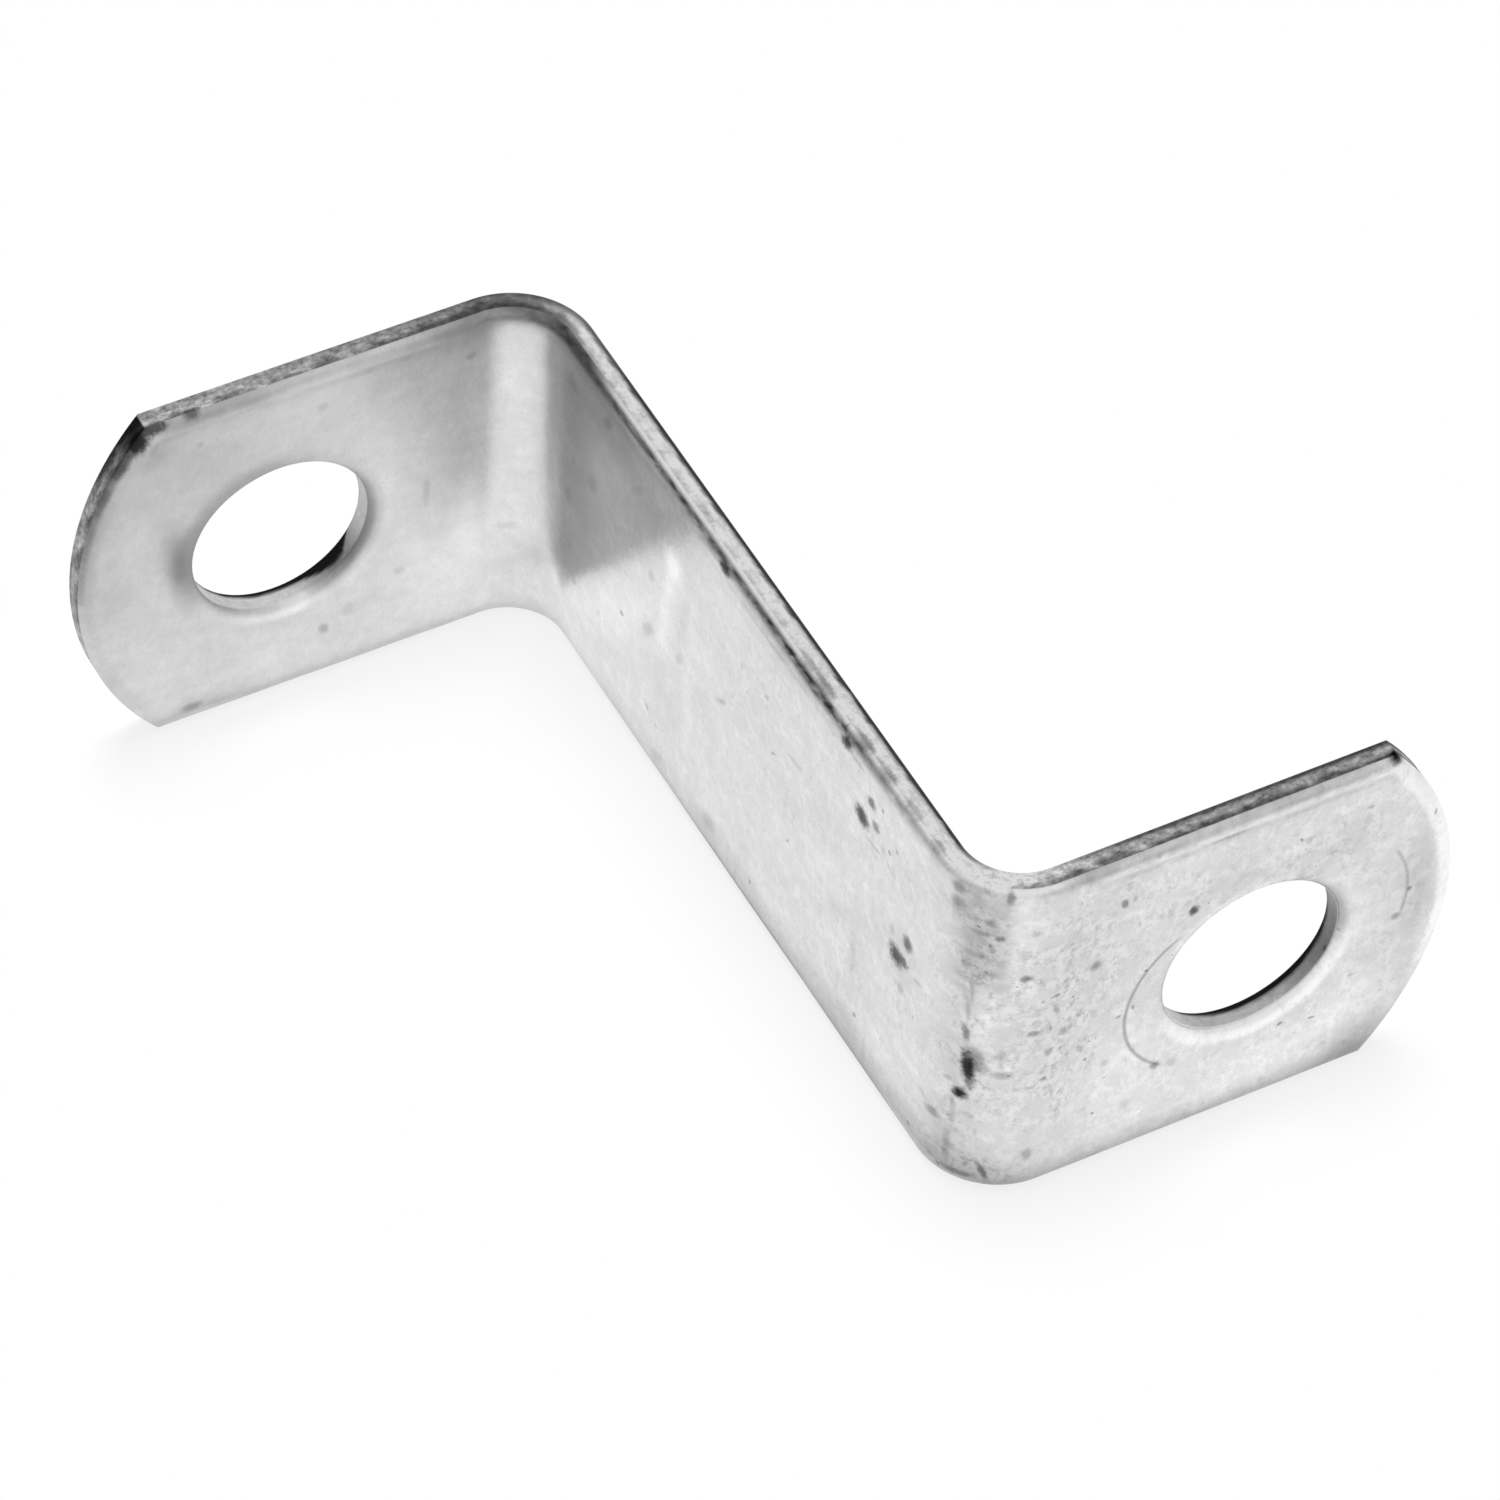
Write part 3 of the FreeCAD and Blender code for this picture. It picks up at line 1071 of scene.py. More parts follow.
@dataclass(frozen=True)
class RolledEdges:
    """Darkens and brightens the front along its rolled edges with painted shade and painted highlights.

    Curves read the place along the strip. Ramps read the distance from the cut,
    unless their names say along or across.
    """

    rim_shade: EdgeShade = EdgeShade(
        dark=Curve(
            (-50, -36, -31, -28, -24, -20, -12, -6, 0, 8, 13, 17, 23, 50),
            (0.14, 0.16, 0.30, 0.52, 0.78, 0.72, 0.70, 0.70, 0.68, 0.88, 0.58, 0.30, 0.05, 0.08),
        ),
        reach=Curve(
            (-38, -31, -27, -22, -12, 0, 5, 8, 12, 52),
            (0.5, 0.8, 1.05, 1.0, 0.80, 0.90, 0.90, 1.15, 0.90, 0.75),
        ),
        full=0.45, ragged=0.4, patchy=1.0,
    )
    wide_shade: EdgeShade = EdgeShade(
        dark=Curve(
            (-50, -48, -44, -41, -36, -32, -28, -24, -20, -12, -8, -4,
             0, 4, 8, 12, 15, 22, 24, 28, 32, 49, 52),
            (0.1, 0.32, 0.24, 0.0, 0.05, 0.36, 0.26, 0.28, 0.24, 0.26, 0.30, 0.20,
             0.26, 0.26, 0.46, 0.22, 0.0, 0.0, 0.15, 0.15, 0.20, 0.20, 0.0),
        ),
        reach=Curve(
            (-52, -31, -28, -24, -20, -16, -12, -8, -4, 0, 4, 8, 12, 16, 24, 28, 32),
            (1.1, 1.1, 1.5, 1.6, 2.0, 2.0, 1.7, 1.4, 1.3, 1.9, 2.1, 1.6, 1.9, 1.0, 1.3, 0.8, 0.9),
        ),
        full=0.4, ragged=0.6, patchy=0.8,
    )
    uneven: Curve = Curve((-20, -14), (0.08, 0.28))
    line_dark: Curve = Curve(
        (-52, -32, -28, -6, 0, 8, 12, 30, 34, 52),
        (0.10, 0.10, 0.0, 0.0, 0.20, 0.20, 0.0, 0.0, 0.15, 0.15),
    )
    line_place: Curve = Curve((-30, -5, 15, 30), (1.12, 1.5, 1.5, 1.12))
    line_width: float = 0.25
    line_band: float = 2.4
    line_patchy: float = 0.4

    low_dark: Curve = Curve(
        (-52, -30, -20, -8, 2, 22, 26, 52),
        (0.14, 0.06, 0.0, 0.24, 0.44, 0.46, 0.38, 0.34),
    )
    low_reach: Curve = Curve((-30, -8, 22, 30), (1.6, 3.4, 3.4, 2.2))
    low_ragged: float = 0.1
    low_rim: float = 0.12
    low_rim_across: Ramp = Ramp(1.7, 0.4)
    low_edge_shading: tuple[LowEdgeShading, ...] = (
        LowEdgeShading(0.20, (-8, -4, 6, 10), (Ramp(0.9, 0.6),)),
        LowEdgeShading(0.18, (-50.5, -49, -47, -44), (Ramp(2.6, 1.4), Ramp(0.6, 0.9))),
        LowEdgeShading(0.08, (8, 12, 22, 30), (Ramp(3.6, 2.6),)),
        LowEdgeShading(-0.22, (17, 20, 25, 27), (Ramp(1.2, 0.8),)),
    )

    crest: Ramp = Ramp(0.20, 0.08)
    crest_bright: float = 0.38
    web_along: tuple[Ramp, Ramp] = (Ramp(-21.0, -16.0), Ramp(31.0, 27.0))
    bend: Ramp = Ramp(0.8, 0.4)
    bend_bright: float = 0.40
    bend_along: tuple[Ramp, Ramp] = (Ramp(22.0, 25.0), Ramp(31.0, 28.0))
    flange: Ramp = Ramp(1.0, 0.7)
    flange_bright: float = 0.24
    flange_along: Ramp = Ramp(29.0, 33.0)
    flange_band: float = 1.3

    right_tip: Ramp = Ramp(1.25, 0.75)
    right_tip_bright: float = 0.38
    right_tip_across: Ramp = Ramp(3.0, 11.0)
    right_tip_unshaded: float = 0.8
    left_tip: Ramp = Ramp(0.42, 0.08)
    left_tip_dark: float = 0.38
    left_tip_across: Ramp = Ramp(7.0, 18.0)
    left_tip_patchy: float = 0.10
    left_glow: tuple[Ramp, Ramp] = (Ramp(0.45, 0.80), Ramp(1.6, 1.2))
    left_glow_bright: float = 0.07
    left_glow_across: tuple[Ramp, Ramp] = (Ramp(9.0, 12.0), Ramp(20.0, 16.0))

    ring: Ramp = Ramp(0.65, 0.14)
    ring_beside: tuple[Ramp, Ramp] = (Ramp(0.6, 0.95), Ramp(1.7, 1.2))
    ring_beside_bright: float = 0.16
    ring_glow: Ramp = Ramp(1.15, 0.55)
    gloom_off_hole: Ramp = Ramp(2.0, 0.9)

    def between(self, ramps: tuple[Ramp, Ramp], where: np.ndarray) -> np.ndarray:
        """Say how far points are past both ramps, from 0 to 1."""
        return ramps[0].at(where) * ramps[1].at(where)

    def top(self, spots: Spots) -> np.ndarray:
        """Paint shade on the upper edge: a dark rim, a wider band beyond it and a thin line inside the
        roll.

        Args:
            spots: The points.

        Returns:
            The share of light taken, the curved ends left aside.
        """
        uneven = self.uneven.at(spots.along)
        dark = np.maximum(self.rim_shade.over(spots, uneven), self.wide_shade.over(spots, uneven))
        dark = dark * (1 - self.between(self.web_along, spots.along) * self.crest.at(spots.edge))
        off_line = (spots.edge - self.line_place.at(spots.along)) / self.line_width
        line = self.line_dark.at(spots.along) * (spots.across > spots.sizes.width - self.line_band)
        return dark + line * (1 + self.line_patchy * spots.chips) * np.exp(-off_line**2)

    def low(self, spots: Spots) -> np.ndarray:
        """Paint shade along the lower edge: a wide band, a rim and patches, one of them painted light.

        Args:
            spots: The points.

        Returns:
            The share of light taken.
        """
        reach = self.low_reach.at(spots.along)
        rag = self.low_ragged * spots.chips
        dark = self.low_dark.at(spots.along) * np.clip((reach - spots.across + rag) / reach, 0.0, 1.0)
        dark = dark + self.low_rim * self.low_rim_across.at(spots.across + rag)
        for shading_patch in self.low_edge_shading:
            dark = dark + shading_patch.over(spots)
        return dark

    def tip(self, spots: Spots) -> np.ndarray:
        """Paint shade on the roll of the left flange's curved end."""
        shade = self.left_tip_dark * self.left_tip.at(spots.edge) * self.left_tip_across.at(spots.across)
        return shade * (1 + self.left_tip_patchy * spots.chips)

    def dark(self, spots: Spots) -> np.ndarray:
        """Put the painted shade of the upper, lower, curved and round edges together.

        Args:
            spots: The points.

        Returns:
            The share of light taken.
        """
        top = self.top(spots) * (1 - self.right_tip_unshaded * spots.right_end)
        top = np.where(spots.left_end > 0.5, self.tip(spots), top)
        dark = np.where(spots.upper, top, 0.0) + np.where(spots.lower, self.low(spots), 0.0)
        ring = spots.hole(HoleTone.ROLL_SHADE) * self.ring.at(spots.edge)
        return np.where(spots.on_ring, ring, dark)

    def bright(self, spots: Spots) -> np.ndarray:
        """Paint highlights on the straight and curved rolled edges.

        Args:
            spots: The points.

        Returns:
            The share of light added.
        """
        along, across, edge = spots.along, spots.across, spots.edge
        bright = self.right_tip_bright * spots.right_end * self.right_tip.at(edge)
        bright = bright * self.right_tip_across.at(across)
        flange = self.flange_along.at(np.abs(along)) * (across > spots.sizes.width - self.flange_band)
        flange = flange * (1 - spots.right_end) * (1 - spots.left_end)
        bright = bright + self.flange_bright * flange * self.flange.at(edge)
        crest = self.between(self.web_along, along) * spots.upper * self.crest.at(edge)
        bright = bright + self.crest_bright * crest
        bend = self.between(self.bend_along, along) * spots.upper * self.bend.at(edge)
        bright = bright + self.bend_bright * bend
        glow = self.between(self.left_glow, edge) * self.between(self.left_glow_across, across)
        return bright + self.left_glow_bright * spots.left_end * glow

    def ring_bright(self, spots: Spots) -> np.ndarray:
        """Paint highlights on the rolled edges of the holes and on the face just beside their painted
        shade.

        Args:
            spots: The points.

        Returns:
            The share of light added.
        """
        beside = self.ring_beside_bright * self.between(self.ring_beside, spots.edge)
        beside = beside * spots.hole(HoleTone.ROLL_SHADE)
        glow = spots.hole(HoleTone.GLOW) * self.ring_glow.at(spots.edge)
        return spots.on_ring * (beside + glow)

    def factor(self, spots: Spots) -> np.ndarray:
        """Work out the factor on the tone: what is left of it, and what is added to that.

        Args:
            spots: The points.

        Returns:
            One factor for each point.
        """
        off_hole = spots.sizes.off_hole(spots.along, spots.across)
        gloom = spots.hole(HoleTone.GLOOM) * self.gloom_off_hole.at(off_hole)
        bright = self.bright(spots) + self.ring_bright(spots)
        return (1 - self.dark(spots)) * (1 + bright) * (1 - gloom)


@dataclass(frozen=True)
class CutWalls:
    """Paints the cut edges: torn and dark on the flanges, bright on the web as painted sheen, with a
    painted highlight at the right bend.

    Curves read the place along the strip, and those of the left tip the place
    across it. A wall's depth runs from 0 at the front to 1 at the back.
    """

    # Tone along the strip: the web's bright stretch is painted sheen, and the values above 1 by the
    # right bend are a painted highlight.
    tone: Curve = Curve(
        (-52, -42, -36, -31, -28, -25.5, -24, -22, 20, 24, 26, 28, 31, 36, 52),
        (0.58, 0.52, 0.44, 0.34, 0.27, 0.32, 0.62, 0.93, 0.93, 1.02, 1.16, 1.10, 0.70, 0.48, 0.42),
    )
    chip_strength: float = 0.15
    chip_limits: tuple[float, float] = (-1.6, 2.2)
    calm_within: float = 27.0
    calm: float = 0.5
    front_rag: Curve = Curve(
        (-36, -32, -20, -8, 14, 24, 30),
        (0.16, 0.06, 0.04, 0.07, 0.07, 0.05, 0.08),
    )
    front_depth: Curve = Curve(
        (-36, -31, -24, -20, 22, 26, 28, 32, 52),
        (0.34, 0.60, 0.60, 0.24, 0.22, 0.40, 0.62, 0.56, 0.42),
    )
    front_full: float = 0.3
    front_dark: Curve = Curve(
        (-52, -50, -48.5, -36, -31, -27, -22, -14, 18, 22, 26, 27.5, 29, 36, 52),
        (0.20, 0.30, 0.40, 0.45, 0.55, 0.66, 0.55, 0.16, 0.20, 0.20, 0.10, 0.62, 0.70, 0.68, 0.74),
    )
    back_rag: float = 0.03
    back_line: Ramp = Ramp(0.68, 0.88)
    back_dark: Curve = Curve(
        (-52, -32, -27, -22, -16, 22, 26, 29, 34, 52),
        (0.10, 0.10, 0.30, 0.80, 0.93, 0.93, 0.20, 0.30, 0.70, 0.80),
    )

    tip_from_corner: float = 0.05
    tip_tone: float = 0.8
    tip_rag: float = 0.08
    left_tone: Curve = Curve(
        (3, 12, 16, 19, 21.5, 23.3, 24.5),
        (1.3, 0.85, 0.92, 1.0, 0.92, 0.50, 0.08),
    )
    left_outer: Ramp = Ramp(0.50, 0.75)
    left_outer_dark: float = 0.75
    left_outer_across: Ramp = Ramp(19.5, 22.0)
    left_inner: Ramp = Ramp(0.50, 0.22)
    left_inner_dark: Curve = Curve((9, 13, 18, 22, 24), (0.0, 0.30, 0.42, 0.42, 0.30))

    hole_margin: float = 0.3
    hole_rag: float = 0.01
    black_before: float = 0.12
    black_after: float = 0.10
    black_tone: float = 0.015

    def straight(self, spots: Spots, depth: np.ndarray) -> np.ndarray:
        """Paint the long walls: chipped, with a dark line at the front and one at the back.

        Args:
            spots: The points.
            depth: How far down the wall each lies.

        Returns:
            One tone for each point.
        """
        along, chips = spots.along, spots.chips
        strength = np.where(np.abs(along) < self.calm_within, self.calm, 1.0)
        chipping = 1 + self.chip_strength * np.clip(chips, *self.chip_limits) * strength
        reach = self.front_depth.at(along)
        front = smooth(depth + self.front_rag.at(along) * chips, reach, self.front_full * reach)
        back = self.back_line.at(depth + self.back_rag * chips)
        tone = self.tone.at(along) * chipping * (1 - self.front_dark.at(along) * front)
        return tone * (1 - self.back_dark.at(along) * back)

    def left_tip(self, spots: Spots, depth: np.ndarray) -> np.ndarray:
        """Shade the left flange's curved end: black corner, dark line at the front.

        Args:
            spots: The points.
            depth: How far down the wall each lies.

        Returns:
            One factor for each point.
        """
        across = spots.across
        ragged = depth + self.tip_rag * spots.chips
        outer = self.left_outer_dark * self.left_outer.at(ragged) * self.left_outer_across.at(across)
        inner = self.left_inner_dark.at(across) * self.left_inner.at(ragged)
        return self.left_tone.at(across) * (1 - outer) * (1 - inner)

    def hole(self, spots: Spots, depth: np.ndarray) -> np.ndarray:
        """Paint the holes' walls: a tone of painted light and shade that changes round each hole, and
        black painted shade at the back.

        Args:
            spots: The points.
            depth: How far down the wall each lies.

        Returns:
            One tone for each point.
        """
        start = spots.hole(HoleTone.BLACK)
        ragged = depth + self.hole_rag * spots.chips
        black = smooth(ragged, start - self.black_before, start + self.black_after)
        return spots.hole(HoleTone.WALL) * (1 - black) + self.black_tone * black

    def in_hole(self, sizes: StripSizes, along: np.ndarray, across: np.ndarray) -> np.ndarray:
        """Whether a wall's point belongs to a hole."""
        return sizes.off_hole(along, across) < self.hole_margin

    def paint(self, spots: Spots, depth: np.ndarray) -> np.ndarray:
        """Paint every wall.

        Args:
            spots: The points.
            depth: How far down the wall each lies.

        Returns:
            One tone for each point.
        """
        tone = self.straight(spots, depth)
        at_tip = np.abs(spots.along) > spots.sizes.corner + self.tip_from_corner
        tone = np.where(at_tip, tone * self.tip_tone, tone)
        tone = np.where(at_tip & (spots.along < 0), tone * self.left_tip(spots, depth), tone)
        in_hole = self.in_hole(spots.sizes, spots.along, spots.across)
        return np.where(in_hole, self.hole(spots, depth), tone)


@dataclass
class Patina:
    """Paints how much light the metal sends back, point by point, from 0 to 1."""

    sizes: StripSizes = field(default_factory=StripSizes)
    edges: RolledEdges = field(default_factory=RolledEdges)
    walls: CutWalls = field(default_factory=CutWalls)
    clouds: Ripples = Ripples(21, 3.5, 12.0)
    mottle: Ripples = Ripples(22, 1.0, 3.0, 28)
    rolled: Ripples = Ripples(23, 0.7, 2.2, 28, 9.0)
    chipped: Ripples = Ripples(26, 0.6, 2.6, 28)
    wall_slant: tuple[float, float] = (0.7, 1.7)
    chip_squeeze: float = 3.0
    cloud_strength: float = 0.024
    mottle_strength: float = 0.014
    rolled_strength: float = 0.007
    front_tone: float = 0.70
    back_tone: float = 0.68
    back_offset: float = 300.0
    crease_along: tuple[Ramp, Ramp] = (Ramp(23.4, 24.8), Ramp(26.9, 26.55))
    crease_across: Ramp = Ramp(14.5, 18.5)
    crease_dark: float = 0.15
    crease_mottle: float = 0.05
    crease_squeeze: tuple[float, float] = (1.6, 1.2)
    worn_along: Curve = Curve((-30, -5, 20), (0.04, 0.12, 0.20))
    worn_back: float = 0.15
    worn_middle: float = 0.75
    worn_patchy: float = 0.5
    worn_most: float = 1.3
    dull_along: Curve = Curve(
        (-55, -34, -31, -27, -24, -20, 55),
        (0.31, 0.34, 0.42, 0.42, 0.31, 0.24, 0.24),
    )
    dull_edge: Ramp = Ramp(1.2, 0.6)
    dull_edge_more: float = 0.16
    dull_worn_more: float = 0.06
    dull_cloud: float = 0.01
    torn_along: Curve = Curve((0, 23, 30), (0.35, 0.35, 1.0))
    torn_hole: float = 0.2
    scratch_reach: float = 15
    scratch_round: float = 1.4

    def paint(self, points: np.ndarray) -> np.ndarray:
        """Paint front, back and walls.

        Args:
            points: The joined points, with the columns that the patches give.

        Returns:
            One tone for each point.
        """
        read = (Column.ALONG, Column.ACROSS, Column.EDGE, Column.WALL, Column.SKIN)
        along, across, edge, wall, skin = (points[:, column] for column in read)
        front = self.front(along, across, edge)
        tone = np.where(skin == Skin.BACK.value, self.back(along, across), front)
        slant_along, slant_across = self.wall_slant
        chips = self.chipped.at(along + slant_along * wall, across + slant_across * wall)
        cut = self.walls.paint(Spots(self.sizes, along, across, edge, chips), wall)
        return np.clip(np.where(skin == Skin.WALL.value, cut, tone), DARKEST, BRIGHTEST)

    def worked(self, along: np.ndarray, across: np.ndarray) -> np.ndarray:
        """Vary the zinc as a factor: clouds, mottling and faint lines from the rolls."""
        factor = 1 + self.cloud_strength * self.clouds.at(along, across)
        factor += self.mottle_strength * self.mottle.at(along, across)
        return factor + self.rolled_strength * self.rolled.at(along, across)

    def front(self, along: np.ndarray, across: np.ndarray, edge: np.ndarray) -> np.ndarray:
        """Paint the punched side: stains and painted light and shade, the right bend's crease, and the
        painted shade and highlights of the rolled edges.

        Args:
            along: Distance along the strip.
            across: Distance across it.
            edge: Distance to the nearest cut.

        Returns:
            One tone for each point.
        """
        tone = self.front_tone * self.worked(along, across)
        for stain_and_sheen in STAINS_AND_PAINTED_LIGHT:
            tone = tone * (1 + stain_and_sheen.gain * stain_and_sheen.share(along, across))
        crease = self.crease_along[0].at(along) * self.crease_along[1].at(along)
        crease = crease * self.crease_across.at(across)
        squeeze_along, squeeze_across = self.crease_squeeze
        mottle = self.mottle.at(squeeze_along * along, squeeze_across * across)
        tone = tone * (1 - crease * (self.crease_dark + self.crease_mottle * mottle))
        chips = self.chipped.at(along, self.chip_squeeze * across)
        return tone * self.edges.factor(Spots(self.sizes, along, across, edge, chips))

    def back(self, along: np.ndarray, across: np.ndarray) -> np.ndarray:
        """Paint the other side: the same zinc, read elsewhere in its pattern."""
        return self.back_tone * self.worked(along + self.back_offset, across)

    def wear(self, points: np.ndarray) -> np.ndarray:
        """Say where every point is scuffed, from 0 to 1: as scuffed says, and evenly on the back."""
        scuffed = self.scuffed(points[:, Column.ALONG], points[:, Column.ACROSS])
        return np.where(points[:, Column.SKIN] == Skin.BACK.value, self.worn_back, scuffed)

    def scuffed(self, along: np.ndarray, across: np.ndarray) -> np.ndarray:
        """Say where the front is scuffed and pitted: the worn areas, broken up by mottling.

        Args:
            along: Distance along the strip.
            across: Distance across it.

        Returns:
            A share from 0 to 1 for each point.
        """
        worn = self.worn_along.at(along)
        for area in WORN:
            worn = np.maximum(worn, area.gain * area.share(along, across))
        patchy = self.worn_middle + self.worn_patchy * self.mottle.at(along, across)
        return np.clip(worn * np.clip(patchy, 0.0, self.worn_most), 0.0, 1.0)

    def scratched(self, points: np.ndarray) -> np.ndarray:
        """Place each point against the nearer of the curved scratches.

        The first number is how far off the circle it is, in half line widths,
        the second how far round it is, in half sweeps, and the third the tone.

        Args:
            points: The joined points.

        Returns:
            Three numbers for each point.
        """
        found = np.zeros((len(points), 3))
        for scratch in SCRATCHES:
            off_along = points[:, Column.ALONG] - scratch.along
            off_across = points[:, Column.ACROSS] - scratch.across
            off = (np.hypot(off_along, off_across) - scratch.radius) / scratch.wide
            turn = np.arctan2(off_across, off_along) - math.radians(scratch.middle)
            turn = np.abs(np.arctan2(np.sin(turn), np.cos(turn))) / math.radians(scratch.sweep)
            here = np.stack([off, turn, scratch.tone + 0 * off], axis=1)
            near = (np.abs(off) < self.scratch_reach) & (turn < self.scratch_round)
            near = near & (points[:, Column.SKIN] == Skin.FRONT.value)
            found = np.where(near[:, None], here, found)
        return found

    def dullness(self, points: np.ndarray) -> np.ndarray:
        """Give the roughness: most at the left bend and on rolled edges, where images are blurred.

        Args:
            points: The joined points.

        Returns:
            One roughness for each point.
        """
        read = (Column.ALONG, Column.ACROSS, Column.EDGE)
        along, across, edge = (points[:, column] for column in read)
        dull = self.dull_along.at(along) + self.dull_edge_more * self.dull_edge.at(edge)
        dull = dull + self.dull_worn_more * self.wear(points)
        return dull + self.dull_cloud * self.clouds.at(along, across)

    def tear(self, points: np.ndarray) -> np.ndarray:
        """Say how torn the metal is: not on the skins, little on the web and in the holes.

        Args:
            points: The joined points.

        Returns:
            A share from 0 to 1 for each point.
        """
        along, across = points[:, Column.ALONG], points[:, Column.ACROSS]
        in_hole = self.walls.in_hole(self.sizes, along, across)
        torn = np.where(in_hole, self.torn_hole, self.torn_along.at(np.abs(along)))
        return np.where(points[:, Column.SKIN] == Skin.WALL.value, torn, 0.0)


@dataclass
class Speckling:
    """Hands each cell of the mesh the two dark marks that matter most to it.

    A cell's corners carry their place as seen from its mark's own middle, in the
    mark's own half lengths, and the mark's tone. The material then draws the
    oval however fine the picture is.

    Lengths and tones of the tiny marks are a least value, a range above it and
    the power that a draw is raised to, where a high power makes large ones rare.
    """

    seed: int = 31
    tries: int = 4200
    on_back: float = 0.35
    back_chance: float = 0.10
    front_chance: float = 0.75
    lengths: tuple[float, float, float] = (0.07, 0.26, 2.5)
    slimmest: float = 0.35
    tones: tuple[float, float, float] = (0.10, 0.50, 2.0)
    light_share: float = 0.2
    light_tone: float = -0.35

    def drawn(self, draw: np.random.Generator, least: float, span: float, power: float) -> np.ndarray:
        """Draw one value for each try, with small ones more often."""
        return least + span * draw.uniform(size=self.tries) ** power

    def pepper(self, patina: Patina) -> tuple[Mark, ...]:
        """Scatter tiny marks, more of them where the zinc is worn, some of them light.

        Args:
            patina: What says where the front is worn.

        Returns:
            The marks of the front and, a shift away, of the back.
        """
        draw = np.random.default_rng(self.seed)
        size = patina.sizes
        along = draw.uniform(-size.tip, size.tip, self.tries)
        across = draw.uniform(0.0, size.width, self.tries)
        on_back = draw.uniform(size=self.tries) < self.on_back
        chance = self.front_chance * patina.scuffed(along, across)
        shown = draw.uniform(size=self.tries) < np.where(on_back, self.back_chance, chance)
        long = self.drawn(draw, *self.lengths)
        slim = draw.uniform(self.slimmest, 1.0, self.tries)
        turn = draw.uniform(0.0, 180.0, self.tries)
        tone = self.drawn(draw, *self.tones)
        light = draw.uniform(size=self.tries) < self.light_share
        tone = np.where(light, self.light_tone * tone, tone)
        rows = np.stack([along, across + BACK_SHIFT * on_back, long, long * slim, turn, tone], axis=1)
        return tuple(Mark(*row) for row in rows[shown].tolist())

    def nearest(self, marks: tuple[Mark, ...], middle: np.ndarray) -> np.ndarray:
        """Choose for every cell the two marks of most weight: tone times e to the minus reach.

        Args:
            marks: Every mark.
            middle: The middles of the cells on the sheet, in millimetres.

        Returns:
            The numbers of the first and second mark of each cell, two rows.
        """
        weight = np.full((2, len(middle)), -1.0)
        chosen = np.zeros((2, len(middle)), dtype=int)
        for number, mark in enumerate(marks):
            here = abs(mark.tone) * np.exp(-mark.reach(middle[:, 0], middle[:, 1]))
            first, second = here > weight[0], here > weight[1]
            chosen[1] = np.where(first, chosen[0], np.where(second, number, chosen[1]))
            weight[1] = np.where(first, weight[0], np.where(second, here, weight[1]))
            chosen[0] = np.where(first, number, chosen[0])
            weight[0] = np.where(first, here, weight[0])
        return chosen

    def corners(self, sheet: np.ndarray, patina: Patina) -> list[np.ndarray]:
        """Work out what each corner of each cell carries.

        Args:
            sheet: The corners' places on the sheet in millimetres, by cell and corner.
            patina: What says where the front is worn.

        Returns:
            One array for each of the two marks, three numbers for every corner.
        """
        marks = SPECKS_AND_SHADE + self.pepper(patina)
        table = np.array([astuple(mark) for mark in marks])
        carried = []
        for number in self.nearest(marks, sheet.mean(axis=1)):
            nearest = Mark(*table[number].T[:, :, None])
            first, second = nearest.seen(sheet[..., 0], sheet[..., 1])
            numbers = np.stack([first, second, nearest.tone + 0 * first], axis=-1)
            carried.append(numbers.reshape(-1, 3))
        return carried


